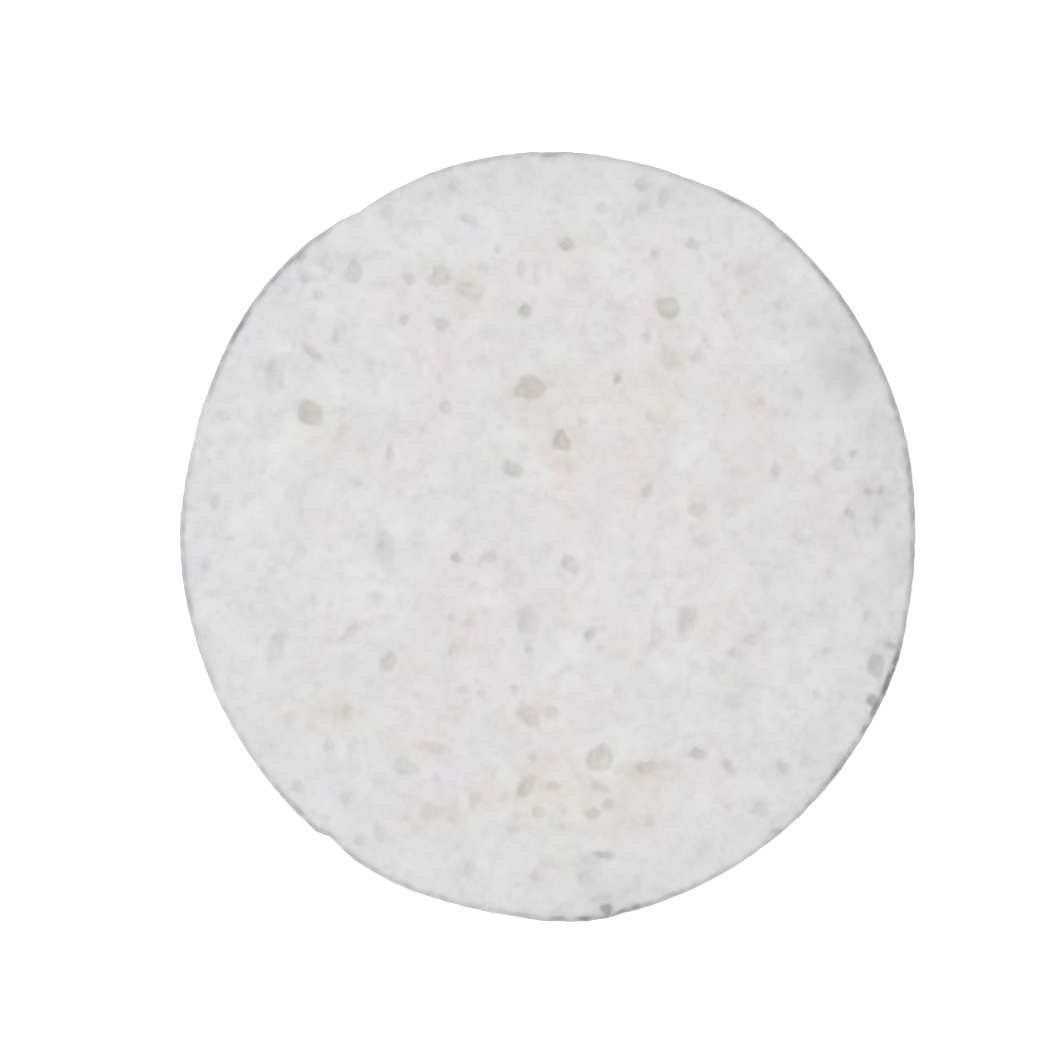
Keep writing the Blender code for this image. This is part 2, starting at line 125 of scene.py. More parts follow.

# The pores of the face. Each row gives the place as shares of the half width and the half
# length, the pore's length and width in millimetres, the turn of its length from +X in
# degrees, its tint and how far the tint goes. A pore with a stronger tint is deeper. The tint
# is partly the pore's own hue and partly painted shade of its hollow.
FACE_PORES = (
    # Upper left quarter
    (-0.642, 0.320, 2.7, 2.5, 90, OLIVE, 0.9),
    (-0.525, 0.685, 2.2, 1.9, 90, ROSE, 0.6),
    (-0.531, 0.722, 1.6, 1.4, 0, GREY, 0.3),
    (-0.292, 0.674, 2.5, 2.0, 0, OLIVE, 0.5),
    (-0.208, 0.638, 2.8, 2.0, -10, BEIGE, 0.4),
    (-0.047, 0.385, 3.0, 2.5, 0, BEIGE, 0.8),
    (-0.061, 0.586, 1.5, 1.2, -35, MOSS, 1.1),
    (-0.634, 0.475, 2.4, 0.8, -40, GREY, 0.8),
    (-0.094, 0.175, 2.2, 1.4, -35, MOSS, 0.7),
    (-0.064, 0.231, 1.2, 1.1, 0, BEIGE, 0.2),
    (-0.287, 0.551, 1.7, 1.5, 0, ROSE, 0.6),
    (-0.387, 0.561, 1.3, 0.9, 90, GREY, 0.9),
    (-0.373, 0.669, 1.2, 1.1, 0, ROSE, 0.8),
    (-0.656, 0.669, 1.3, 1.0, 0, GREY, 0.6),
    (-0.623, 0.626, 1.2, 1.1, 0, GREY, 0.6),
    (-0.213, 0.822, 1.7, 1.1, -15, GREY, 0.7),
    (-0.564, 0.529, 2.6, 1.4, 80, GREY, 0.3),
    (-0.737, 0.418, 4.2, 2.1, 85, BEIGE, 0.3),
    (-0.879, 0.312, 1.5, 1.4, 0, GREY, 0.4),
    (-0.178, 0.454, 2.4, 1.3, -10, ROSE, 0.2),
    (-0.428, 0.214, 1.9, 0.8, 90, GREY, 0.8),
    (-0.515, 0.141, 1.4, 1.2, 0, GREY, 0.4),
    (-0.553, 0.278, 1.5, 1.1, 90, BEIGE, 0.4),
    # Upper right quarter
    (0.053, 0.757, 1.7, 1.3, 0, MOSS, 0.8),
    (0.327, 0.594, 2.6, 2.4, -20, OLIVE, 0.7),
    (0.189, 0.410, 1.1, 0.8, 90, GREY, 1.3),
    (0.292, 0.729, 1.4, 1.1, 90, ROSE, 0.5),
    (0.392, 0.757, 1.8, 0.9, 0, ROSE, 0.9),
    (0.039, 0.247, 2.1, 1.8, -60, BEIGE, 1.0),
    (0.060, 0.180, 1.7, 1.2, 90, OLIVE, 0.3),
    (0.257, 0.912, 1.8, 1.3, 0, GREY, 0.6),
    (0.316, 0.881, 1.9, 1.2, 75, GREY, 0.5),
    (0.327, 0.457, 2.4, 1.5, 0, OLIVE, 0.2),
    (0.403, 0.467, 1.4, 1.1, 45, GREY, 0.7),
    (0.428, 0.511, 1.9, 0.9, -60, GREY, 0.4),
    (0.270, 0.514, 1.5, 1.0, 90, GREY, 0.6),
    (0.490, 0.571, 1.3, 1.2, 0, GREY, 0.4),
    (0.270, 0.118, 1.4, 1.2, 90, MOSS, 0.6),
    (0.403, 0.069, 2.0, 1.3, 0, GREY, 0.6),
    (0.621, 0.172, 1.8, 0.9, 90, ROSE, 0.8),
    (0.735, 0.154, 1.4, 1.0, 90, ROSE, 0.4),
    (0.787, 0.190, 1.6, 1.2, 80, GREY, 0.5),
    (0.819, 0.061, 1.3, 1.2, -45, ROSE, 0.9),
    (0.892, 0.041, 1.4, 0.9, 90, GREY, 0.7),
    (0.870, 0.115, 0.9, 0.9, 0, GREY, 0.8),
    (0.683, 0.369, 1.2, 1.0, 0, GREY, 0.2),
    # Lower left quarter
    (-0.439, -0.037, 4.0, 1.9, 88, MOSS, 0.4),
    (-0.246, -0.055, 1.1, 1.0, 0, MOSS, 1.2),
    (-0.159, -0.053, 1.5, 1.3, 0, ROSE, 0.6),
    (-0.094, -0.094, 3.6, 1.6, 100, ROSE, 0.3),
    (-0.053, -0.216, 3.1, 2.3, 85, ROSE, 0.4),
    (-0.531, -0.244, 2.7, 1.0, 40, GREY, 0.5),
    (-0.433, -0.325, 2.0, 1.7, 90, BEIGE, 0.6),
    (-0.737, -0.286, 3.4, 1.6, 80, ROSE, 0.3),
    (-0.254, -0.301, 2.1, 1.2, 95, BEIGE, 0.6),
    (-0.316, -0.545, 3.6, 1.2, -12, ROSE, 0.4),
    (-0.387, -0.596, 2.5, 1.7, -20, MOSS, 0.5),
    (-0.591, -0.539, 1.5, 1.3, 90, GREY, 0.4),
    (-0.539, -0.454, 1.5, 1.3, 90, BEIGE, 0.4),
    (-0.699, -0.469, 1.3, 1.2, 0, GREY, 0.3),
    (-0.200, -0.684, 1.6, 1.0, 70, MOSS, 0.7),
    (-0.314, -0.713, 2.3, 2.0, 0, BEIGE, 0.3),
    (-0.547, -0.674, 1.4, 1.0, 20, GREY, 0.6),
    (-0.210, -0.860, 1.5, 1.0, 75, GREY, 0.4),
    (-0.034, -0.878, 1.1, 1.0, 0, GREY, 0.5),
    # Lower right quarter
    (0.064, -0.071, 2.4, 1.5, -45, GREY, 0.6),
    (0.115, -0.254, 1.4, 1.1, 45, GREY, 1.0),
    (0.379, -0.213, 3.0, 1.9, 80, BEIGE, 0.5),
    (0.422, -0.010, 1.6, 1.2, -20, GREY, 0.2),
    (-0.053, -0.461, 2.7, 1.9, -45, BEIGE, 0.5),
    (0.014, -0.457, 1.6, 1.3, -30, BEIGE, 0.4),
    (0.143, -0.573, 2.8, 2.6, 90, OLIVE, 0.6),
    (0.267, -0.597, 1.8, 1.5, 0, BEIGE, 0.6),
    (0.406, -0.563, 1.8, 1.1, -5, ROSE, 1.0),
    (-0.058, -0.646, 2.4, 1.7, 40, BEIGE, 0.7),
    (0.018, -0.646, 1.2, 0.8, -5, GREY, 0.8),
    (0.143, -0.648, 1.9, 0.8, -28, GREY, 0.7),
    (0.121, -0.717, 1.7, 1.3, 0, GREY, 0.7),
    (0.163, -0.693, 1.3, 1.0, 10, GREY, 0.8),
    (0.152, -0.824, 2.4, 0.7, -10, ROSE, 1.1),
    (0.020, -0.850, 2.4, 0.9, -18, GREY, 0.3),
    (0.506, -0.302, 1.4, 1.1, 0, ROSE, 0.5),
    (0.504, -0.426, 2.0, 1.5, 0, GREY, 0.3),
    (0.493, -0.598, 1.9, 1.0, -55, GREY, 0.8),
    (0.640, -0.600, 1.9, 0.9, -60, GREY, 0.5),
    (0.577, -0.708, 1.9, 1.2, 0, GREY, 0.4),
    (0.550, -0.268, 1.4, 1.1, 0, GREY, 0.3),
    (0.868, -0.203, 1.0, 0.8, 0, GREY, 0.7),
    # Pores that the cut edge runs close to
    (0.893, -0.336, 2.4, 1.8, 75, GREY, 0.9),
    (0.881, -0.425, 1.3, 1.2, 0, GREY, 1.7),
    (0.159, -0.964, 1.3, 1.1, 0, GREY, 1.9),
    (0.620, -0.766, 1.0, 0.9, 0, GREY, 0.8),
    (-0.669, 0.728, 1.1, 0.9, 40, GREY, 0.8),
    (0.645, 0.771, 1.0, 0.9, 45, GREY, 0.5),
    # Finer pores, which the solid leaves out: left half
    (-0.436, 0.656, 1.2, 1.0, 0, GREY, 0.3),
    (-0.276, 0.333, 1.5, 1.2, 90, ROSE, 0.5),
    (-0.477, 0.447, 1.0, 0.9, 90, GREY, 0.3),
    (-0.292, 0.408, 0.9, 0.6, 90, GREY, 0.4),
    (-0.338, 0.276, 0.9, 0.8, 90, ROSE, 0.4),
    (-0.900, 0.087, 1.8, 1.0, 90, GREY, 0.6),
    (-0.172, 0.698, 1.5, 1.0, 0, BEIGE, 0.4),
    (-0.134, 0.742, 0.9, 0.8, 90, GREY, 0.7),
    (-0.072, 0.695, 1.5, 1.0, 90, GREY, 0.7),
    (-0.031, 0.667, 1.1, 0.9, 90, GREY, 0.3),
    (-0.767, 0.193, 1.0, 1.0, 0, MOSS, 0.2),
    (-0.707, 0.638, 0.9, 0.8, 90, SLATE, 0.4),
    (-0.599, 0.711, 1.8, 1.5, 90, GREY, 0.3),
    (-0.254, 0.913, 1.5, 1.5, 0, GREY, 0.4),
    (-0.436, 0.840, 1.5, 1.5, 0, GREY, 0.3),
    (-0.259, -0.208, 1.0, 0.8, 90, GREY, 0.6),
    (-0.213, -0.221, 1.0, 0.8, 90, GREY, 0.3),
    (-0.050, -0.293, 0.9, 0.9, 0, GREY, 0.8),
    (-0.088, -0.394, 1.0, 0.9, 0, GREY, 0.7),
    (-0.178, -0.405, 0.9, 0.8, 0, ROSE, 0.6),
    (-0.229, -0.397, 1.2, 1.0, 0, GREY, 0.5),
    (-0.300, -0.625, 1.0, 0.8, 0, GREY, 0.4),
    (-0.096, -0.757, 1.2, 0.9, 0, SLATE, 0.4),
    (-0.113, -0.671, 1.0, 0.8, 90, BEIGE, 0.5),
    (-0.259, -0.728, 0.8, 0.8, 0, GREY, 0.2),
    (-0.083, -0.723, 1.0, 1.0, 0, BEIGE, 0.3),
    (-0.039, -0.576, 1.1, 0.9, 0, ROSE, 0.4),
    (-0.026, -0.713, 1.5, 1.1, 0, BEIGE, 0.6),
    (-0.455, -0.770, 1.8, 1.3, 90, GREY, 0.4),
    (-0.509, -0.788, 1.0, 1.0, 0, GREY, 0.5),
    (-0.930, -0.081, 1.5, 0.8, 90, SLATE, 0.5),
    (-0.865, -0.006, 0.9, 0.6, 0, GREY, 0.7),
    (-0.914, -0.149, 1.5, 1.0, 0, GREY, 0.4),
    (-0.775, -0.133, 1.0, 0.9, 0, GREY, 0.3),
    (-0.466, -0.156, 1.9, 1.3, 0, GREY, 0.4),
    (-0.678, -0.648, 1.4, 1.2, 90, GREY, 0.4),
    # Finer pores: right half
    (0.257, 0.853, 1.3, 1.0, 90, GREY, 0.3),
    (0.278, 0.312, 1.3, 1.1, 90, MOSS, 0.4),
    (0.634, 0.602, 1.5, 1.5, 0, GREY, 0.4),
    (0.583, 0.351, 0.8, 0.8, 0, GREY, 0.3),
    (0.906, 0.121, 1.0, 0.7, 90, GREY, 0.9),
    (0.830, 0.214, 0.8, 0.7, 90, GREY, 1.1),
    (0.094, 0.299, 1.0, 1.0, 0, ROSE, 0.4),
    (0.031, 0.874, 1.4, 1.0, 0, ROSE, 0.3),
    (0.151, 0.850, 1.3, 1.3, 0, GREY, 0.3),
    (0.392, 0.020, 0.8, 0.7, 0, GREY, 0.6),
    (0.686, -0.001, 1.8, 1.2, -35, GREY, 0.3),
    (0.314, -0.589, 2.0, 1.2, 0, BEIGE, 0.2),
    (0.143, -0.288, 0.6, 0.6, 0, GREY, 0.7),
    (0.153, -0.237, 0.6, 0.6, 0, GREY, 0.6),
    (0.251, -0.332, 1.4, 1.0, 0, MOSS, 0.3),
    (0.039, -0.752, 0.9, 0.8, 90, BEIGE, 0.4),
    (0.276, -0.739, 1.0, 0.9, 90, GREY, 0.5),
    (0.490, -0.702, 1.0, 0.9, 0, GREY, 0.2),
    (0.759, -0.293, 1.1, 0.8, 0, GREY, 0.4),
    (0.729, -0.402, 1.0, 0.8, 90, GREY, 0.4),
    (0.292, -0.252, 2.5, 1.1, 90, GREY, 0.3),
    (0.365, -0.094, 1.1, 1.1, 0, GREY, 0.3),
    (0.593, -0.115, 1.3, 0.8, 90, MOSS, 0.3),
    (0.767, -0.094, 1.4, 0.9, 90, GREY, 0.4),
    (0.099, -0.886, 1.3, 1.3, 0, SLATE, 0.3),
    (0.191, -0.394, 1.0, 1.0, 0, GREY, 0.3),
    (0.528, 0.685, 0.8, 0.6, 0, GREY, 0.5),
    (0.482, 0.695, 0.8, 0.5, 90, GREY, 0.6),
    (0.534, 0.633, 0.9, 0.9, 0, GREY, 0.5),
    (0.507, 0.172, 0.8, 0.8, 0, BEIGE, 0.3),
    (0.832, 0.483, 1.5, 1.0, 0, GREY, 0.4),
    (0.702, -0.580, 0.9, 0.8, 0, GREY, 0.3),
    (0.933, -0.281, 1.4, 0.8, 0, GREY, 1.2),
    (0.240, -0.959, 0.8, 0.6, 0, GREY, 1.3),
    (0.145, -0.936, 1.5, 1.0, 0, GREY, 0.4),
)

# The underside: the solid's bowls, and finer pores scattered between them, whose lengths
# and widths are in millimetres as the face's are
BOWL_FINE_REACH = 0.45 * MM
BOWL_LIP = 0.15 * MM
BOWL_LEAST_HEIGHT = 0.001 * MM
# The bowl height at which its darkening, a beige hue with painted shade of the hollow, is full
BOWL_FULL_TINT = 0.4 * MM
UNDER_PORE_COUNT = 120
UNDER_PORE_SPREAD = 0.93
UNDER_PORE_LENGTHS = (0.7, 1.9)
UNDER_PORE_SLIMNESS = (0.5, 1.0)
UNDER_PORE_STRENGTHS = (0.3, 0.9)
UNDER_PORE_TINTS = (GREY, GREY, GREY, ROSE, BEIGE, MOSS)
UNDER_WARMTH = 0.4

# Soft casts of the face, with ragged outlines. For each tint, the rows run as a pore's do.
FACE_CASTS = {
    PALE_CAST: (
        (-0.74, 0.17, 6.0, 12.0, 0, 1.0),
        (-0.54, -0.09, 6.0, 7.5, 0, 0.8),
        (-0.40, -0.16, 4.5, 5.5, 0, 1.1),
        (-0.36, 0.78, 8.0, 4.0, 10, 1.2),
        (-0.40, 0.50, 4.5, 5.5, 0, 0.9),
        (0.39, 0.22, 5.0, 6.5, 0, 0.9),
        (0.17, 0.70, 4.0, 6.0, 0, 0.6),
        (-0.18, 0.77, 4.5, 4.5, 0, 0.9),
        (0.66, -0.35, 6.5, 5.0, 0, 0.9),
        (0.36, -0.35, 6.0, 7.0, 30, 0.6),
        (0.70, 0.68, 5.0, 4.0, 0, 2.3),
        (-0.13, -0.35, 5.0, 4.5, 0, 1.3),
        (-0.65, 0.58, 13.0, 6.0, 45, 0.5),
        (0.60, 0.14, 4.5, 3.5, 0, 0.6),
    ),
    # Mostly painted shade near the cut edge, where the face turns from the light; darker tone
    # further in
    DIM_AND_SHADE_CAST: (
        (0.82, 0.43, 6.5, 5.5, 0, 2.3),
        (0.77, 0.53, 6.0, 3.5, -50, 0.6),
        (0.90, 0.28, 4.0, 4.0, 0, 1.1),
        (0.91, 0.11, 4.5, 6.0, 0, 1.0),
        (0.94, -0.06, 3.5, 6.0, 0, 1.1),
        (0.93, -0.33, 3.0, 7.0, 20, 0.9),
        (0.25, 0.90, 5.0, 3.5, 0, 0.3),
        (-0.31, 0.91, 6.0, 3.5, -15, 0.7),
        (-0.03, 0.96, 7.0, 2.5, 0, 0.5),
        (-0.44, 0.86, 4.0, 3.0, 25, 0.5),
        (-0.67, 0.71, 5.0, 3.0, 40, 0.7),
        (0.59, 0.68, 4.5, 4.5, 0, 1.3),
        (0.68, -0.55, 6.0, 5.5, 45, 0.8),
        (0.14, -0.95, 6.0, 3.0, 0, 1.1),
        (0.12, -0.87, 3.5, 4.0, 0, 0.9),
        (0.51, -0.42, 4.5, 6.0, 0, 1.2),
        (0.28, -0.60, 5.0, 3.5, 0, 0.6),
        (0.69, -0.19, 13.0, 9.0, 0, 0.4),
        (0.73, 0.09, 12.0, 17.0, 0, 0.5),
        (-0.95, -0.06, 2.5, 5.0, 0, 0.4),
        (0.55, -0.25, 5.0, 7.0, 0, 0.6),
        (0.66, 0.38, 3.5, 4.5, 0, 1.0),
        (-0.07, -0.22, 4.0, 5.0, 0, 0.4),
    ),
    MAUVE_CAST: (
        (-0.02, 0.04, 48.5, 56.5, 0, 0.2),
        (-0.40, 0.61, 7.0, 6.0, 0, 0.9),
        (-0.30, 0.46, 4.0, 8.0, 0, 1.1),
        (-0.20, 0.47, 5.0, 5.0, 0, 1.0),
        (-0.48, 0.44, 3.5, 4.5, 0, 0.4),
        (-0.63, 0.51, 5.0, 3.5, 0, 0.6),
        (-0.30, 0.29, 5.5, 6.5, 0, 1.0),
        (-0.43, 0.19, 6.5, 5.0, 0, 0.9),
        (-0.59, 0.03, 6.0, 6.0, 0, 0.7),
        (-0.26, -0.19, 6.5, 8.0, 0, 1.0),
        (-0.55, -0.25, 8.0, 3.5, 40, 0.9),
        (-0.13, -0.37, 6.0, 5.0, 0, 1.2),
        (0.12, -0.42, 7.5, 4.0, 0, 0.8),
        (0.14, 0.06, 17.0, 10.0, 0, 0.8),
        (0.39, -0.10, 7.5, 8.0, 0, 1.0),
        (0.55, -0.25, 6.0, 9.0, 0, 0.9),
        (0.75, 0.08, 11.0, 13.0, 0, 0.9),
        (0.25, 0.55, 4.0, 9.0, 0, 1.1),
        (0.51, 0.65, 7.5, 7.0, 0, 0.9),
        (0.29, 0.73, 5.0, 5.5, 0, 0.9),
        (0.09, 0.63, 6.0, 6.5, 0, 0.8),
        (-0.07, 0.72, 6.0, 5.5, 0, 0.8),
        (0.47, 0.46, 5.0, 6.0, 0, 0.9),
        (0.52, 0.29, 5.0, 6.0, 0, 0.7),
        (0.10, 0.31, 6.0, 8.0, 0, 0.7),
        (-0.18, -0.09, 8.0, 3.5, -35, 0.8),
        (0.16, -0.22, 9.0, 4.5, -30, 0.9),
        (0.47, -0.62, 6.0, 9.0, 0, 0.7),
        (0.29, -0.76, 7.5, 5.5, 0, 0.4),
        (-0.29, -0.45, 6.0, 6.5, 0, 0.8),
        (-0.09, -0.19, 4.5, 6.0, 0, 0.8),
        (-0.26, -0.66, 9.0, 4.5, 0, 0.7),
        (0.03, -0.54, 6.0, 5.0, 0, 0.6),
    ),
    OCHRE_CAST: (
        (-0.19, 0.63, 10.0, 7.0, -10, 1.0),
        (-0.05, 0.37, 9.0, 8.0, 0, 1.0),
        (0.07, 0.19, 5.0, 8.5, 0, 1.5),
        (0.33, 0.44, 5.0, 9.0, 0, 1.4),
        (0.28, 0.32, 4.5, 4.5, 0, 1.2),
        (0.25, 0.19, 5.0, 9.5, 0, 1.2),
        (0.53, 0.35, 7.5, 4.0, 0, 1.6),
        (0.53, 0.18, 6.5, 6.0, 0, 1.1),
        (-0.59, 0.26, 8.5, 5.0, -20, 0.8),
        (-0.59, -0.46, 9.0, 4.5, 0, 1.5),
        (-0.31, -0.72, 9.0, 4.5, 10, 1.1),
        (-0.18, -0.68, 5.5, 4.0, 0, 1.0),
        (-0.05, -0.66, 7.0, 7.0, 0, 1.3),
        (0.15, -0.71, 8.5, 5.5, 0, 1.3),
        (0.05, -0.66, 7.0, 8.0, 0, 0.7),
        (0.28, -0.61, 5.5, 4.0, 0, 1.9),
        (0.26, -0.68, 8.0, 5.0, 0, 0.7),
        (0.03, -0.57, 7.0, 5.0, 0, 0.6),
        (-0.03, -0.46, 7.0, 4.0, 0, 1.3),
        (-0.24, -0.28, 3.5, 5.5, 0, 0.6),
        (0.04, -0.20, 5.0, 4.5, 0, 1.0),
        (0.43, -0.22, 4.0, 4.5, 0, 0.9),
        (-0.25, -0.46, 3.5, 5.0, 0, 0.8),
        (0.08, 0.75, 6.0, 4.5, 0, 1.2),
        (0.40, 0.06, 4.0, 5.5, 0, 0.8),
        (0.18, 0.42, 6.0, 4.5, 0, 0.6),
        (-0.01, -0.87, 4.5, 5.0, 0, 0.6),
        (0.26, -0.29, 5.0, 4.0, 0, 0.6),
    ),
    RUST_CAST: (
        (-0.01, 0.39, 3.5, 4.0, 0, 0.8),
        (-0.39, -0.35, 4.0, 4.5, 0, 1.0),
        (-0.32, -0.55, 5.5, 3.0, -15, 1.6),
    ),
    GREEN_CAST: (
        (0.06, -0.82, 4.5, 4.5, 0, 0.7),
        (-0.13, 0.21, 5.0, 4.5, 0, 0.7),
        (0.07, 0.20, 3.5, 3.0, 0, 1.3),
    ),
    BLUE_CAST: (
        (-0.69, 0.68, 5.0, 3.0, 45, 0.7),
        (-0.81, 0.52, 4.5, 2.5, 60, 0.8),
        (-0.95, -0.06, 2.5, 5.0, 0, 1.1),
        (-0.62, -0.67, 7.0, 4.0, 0, 0.6),
        (-0.32, -0.81, 6.0, 3.0, 0, 0.6),
        (-0.26, -0.61, 4.0, 4.0, 0, 1.0),
        (-0.18, 0.77, 3.5, 2.5, 0, 0.8),
        (-0.09, 0.51, 6.5, 2.5, 0, 0.7),
        (-0.15, 0.31, 4.0, 4.0, 0, 0.7),
        (0.42, 0.33, 2.5, 3.5, 0, 1.2),
    ),
}
CAST_RAGGEDNESS = (1.0 * MM, 0.4 * MM)
CAST_RAGGED_SIZES = (3.2 * MM, 1.2 * MM)

# The casts that come and go over their place: how far, and the shift of their noise
UNEVEN_CASTS = {MAUVE_CAST: (1.0, 70.0), OCHRE_CAST: (0.8, 90.0)}
CAST_LUMP = 1.7 * MM

# The heights between which the face's colours end on the wall, as shares of the thickness
FACE_COLOUR_END = (0.35, 0.75)

# Where the cut edge carries a grey line of painted shade, the shading of its rounded lip:
# direction from the middle in degrees, counted from +X towards +Y, and how strong the shade is.
EDGE_SHADE_LINE = (
    (5, 0.4), (10, 0.6), (15, 0.4), (25, 0.4), (40, 0.6), (55, 0.3), (60, 0.5), (65, 0.2),
    (80, 0.1), (90, 0.5), (95, 0.3), (120, 0.1), (130, 0.5), (146, 0.7), (150, 0.4),
    (155, 0.4), (160, 0.1), (165, 0.1), (170, 0.3), (190, 0.5), (195, 0.2), (210, 0.2),
    (230, 0.5), (235, 0.3), (245, 0.4), (260, 0.2), (270, 0.5), (275, 0.8), (280, 0.7),
    (285, 0.4), (300, 0.2), (310, 0.2), (315, 0.5), (325, 0.8), (330, 0.6), (335, 1.0),
    (340, 1.0), (345, 0.3), (355, 0.3),
)
SHADE_LINE_BAND = (0.85 * MM, 0.40 * MM)
SHADE_LINE_END = (0.25 * MM, 0.0)
SHADE_LINE_LEFT_AT_END = 0.5
SHADE_LINE_ON_WALL = 0.5
SHADE_LINE_TINT = 0.40
SHADE_LINE_EVENNESS = 0.9
SHADE_LINE_UNEVENNESS = 0.9
SHADE_LINE_LUMP = 1.1 * MM

# Painted shade: the face darkens towards the cut edge, most on this side
RIM_SHADE_BAND = (8.0 * MM, 1.0 * MM)
RIM_SHADE_DIRECTION = math.radians(-15)
RIM_SHADE_MEAN = 0.028
RIM_SHADE_SWING = 0.020

# The cut wall: fine pits besides the solid's slits. Their levels are shares of the thickness,
# and their mouths and floors run as shares of their half sizes.
WALL_PIT_COUNT = 420
WALL_PIT_LEVELS = (0.15, 0.85)
WALL_PIT_LENGTHS = (0.4 * MM, 1.5 * MM)
WALL_PIT_HEIGHTS = (0.16 * MM, 0.45 * MM)
WALL_PIT_DEPTHS = (0.06 * MM, 0.30 * MM)
WALL_PIT_MOUTH = 1.15
WALL_PIT_FLOOR = 0.4

# Soft dips and loose fibres, scattered over the whole surface
DIP_SPACING = 2.6 * MM
MOST_DIPS_PER_SQUARE_METRE = 1.0e6
DIP_WIDTH = 1.5 * MM
DIP_DEPTH = 0.10 * MM
SMALLEST_DIP = 0.35
FIBRE_LENGTH = 0.9 * MM
FIBRE_THICKNESS = 0.05 * MM
FIBRE_BOW = 0.22 * MM
FIBRE_LIFT = 0.04 * MM
FIBRE_END_SINK = 0.6
FIBRE_STEPS = 6
FIBRE_SIDES = 4
FIBRE_LEAST_SCALE = (0.4, 0.6, 0.5)
FIBRE_MOST_SCALE = (1.5, 1.3, 1.3)
FIBRES_PER_SQUARE_METRE = 230000.0
FRAY_ON_FACE = 0.02
FRAY_AT_PORES = 0.45
FRAY_AT_EDGE = 1.0
FRAY_BAND = (7.0 * MM, 0.3 * MM)
FRAY_START = 0.8 * MM

# The mottling of the cellulose: the sizes of its lumps, patches and closed cells, and how
# much each of them lightens or darkens it
NOISE_MIDDLE = 0.5
NOISE_ROUGHNESS = 0.55
BROAD_LUMP = 4.0 * MM
MIDDLING_LUMP = 1.4 * MM
FINE_LUMP = 0.45 * MM
HUE_LUMP = 2.4 * MM
LARGE_PATCH = 2.4 * MM
SMALL_PATCH = 1.2 * MM
PATCH_LEVELS = (0.49, 0.62)
PATCH_STRENGTH_SIZE = 1.7
CELL_SIZE = 1.5 * MM
CELL_LEAST_RADIUS = 0.30
CELL_RADIUS_SPREAD = 0.25
CELL_FLOOR = 0.4
CELL_BEND = 0.8
BENDS_PER_CELL = 3.0
MEAN_LEVEL = 1.019
BROAD_MOTTLING = 0.19
MIDDLING_MOTTLING = 0.08
PATCH_MOTTLING = 0.08
CELL_MOTTLING = 0.05
# Painted shade in the soft dips, deepest in their middles
DIP_SHADE = 0.03
FINE_MOTTLING = 0.015
FRAYED_MOTTLING = 0.08
HUE_SPREAD = 0.03
WARM_HUE_SPREAD = 0.06

# The feel of the cellulose, and the loose fibres' finish
FINE_RELIEF = 0.45
MIDDLING_RELIEF = 1.3
PORE_RELIEF = 0.5
RELIEF_STRENGTH = 0.9
RELIEF_HEIGHT = 0.12 * MM
CELLULOSE_ROUGHNESS = 0.9
CELLULOSE_GLOSS = 0.25
FIBRE_LEVEL = 0.72
FIBRE_BLUE = 0.98
FIBRE_LEVEL_LUMP = 1.0 * MM
FIBRE_LEVEL_SPREAD = 0.12
FIBRE_ROUGHNESS = 0.8
FIBRE_ROUGHNESS_LUMP = 0.6 * MM
FIBRE_GLOSS = 0.3
ROUGHNESS_SPREAD = 0.1

# The stage and the view. The photograph's frame is square, and the disc stands a little to
# the right of and below its middle.
FRAME_WIDTH = 107.06 * MM
FRAME_MIDDLE = (-1.77 * MM, 0.67 * MM)
LENS_MM = 100.0
SENSOR_MM = 36.0
WHITE = (1.0, 1.0, 1.0, 1.0)
FLOOR_HALF = 2.0
FLOOR_GAP = 0.01 * MM
FLOOR_COLOUR = (0.88, 0.88, 0.88)
FLOOR_ROUGHNESS = 0.9
FLOOR_GLOSS = 0.1
FLOOR_GLOW = 0.25
KEY_PLACE = (-0.5, 0.0, 4.0)
KEY_SIZE = 2.0
KEY_POWER = 145.0
SKY_LIGHT = 0.30


class Value:
    """A socket's value in a node tree. Arithmetic on it adds Math nodes to that tree."""

    def __init__(self, nodes, socket):
        self.nodes = nodes
        self.socket = socket

    def other(self, name):
        """Another output of the node that this value comes from."""
        return Value(self.nodes, find_socket(self.socket.node.outputs, name))

    def math(self, operation, first, second):
        return self.nodes.add("ShaderNodeMath", {"operation": operation}, {0: first, 1: second})

    def __add__(self, other):
        return self.math("ADD", self, other)

    def __sub__(self, other):
        return self.math("SUBTRACT", self, other)

    def __rsub__(self, other):
        return self.math("SUBTRACT", other, self)

    def __mul__(self, other):
        return self.math("MULTIPLY", self, other)

    __radd__ = __add__
    __rmul__ = __mul__


class Nodes:
    """Adds nodes to one tree, each from its kind, its settings and its sockets."""

    def __init__(self, tree):
        self.tree = tree

    def add(self, kind, settings=None, sockets=None, output=0):
        node = self.tree.nodes.new(kind)
        for name, setting in (settings or {}).items():
            setattr(node, name, setting)
        for key, value in (sockets or {}).items():
            socket = find_socket(node.inputs, key)
            if isinstance(value, Value):
                self.tree.links.new(value.socket, socket)
            else:
                socket.default_value = value
        return Value(self, find_socket(node.outputs, output)) if node.outputs else None


def find_socket(sockets, key):
    """A socket by its number, or by its identifier, or else by its name."""
    if isinstance(key, int):
        return sockets[key]
    for socket in sockets:
        if socket.identifier == key:
            return socket
    return sockets[key]


def new_object(name, data):
    """Adds an object to the scene."""
    made = bpy.data.objects.new(name, data)
    bpy.context.scene.collection.objects.link(made)
    return made


def smooth(low, high, values):
    """0 below low, 1 above high and an even S between them. low may be the larger."""
    share = np.clip((values - low) / (high - low), 0.0, 1.0)
    return share * share * (3.0 - 2.0 * share)


def relief(xs, ys, size, shift, zs=None):
    """Soft noise of about -1 to 1 at each point, with lumps of this size."""
    zs = 0.0 * xs if zs is None else zs
    points = zip(xs / size + shift, ys / size, zs / size)
    return np.array([noise.noise(Vector(point)) for point in points])


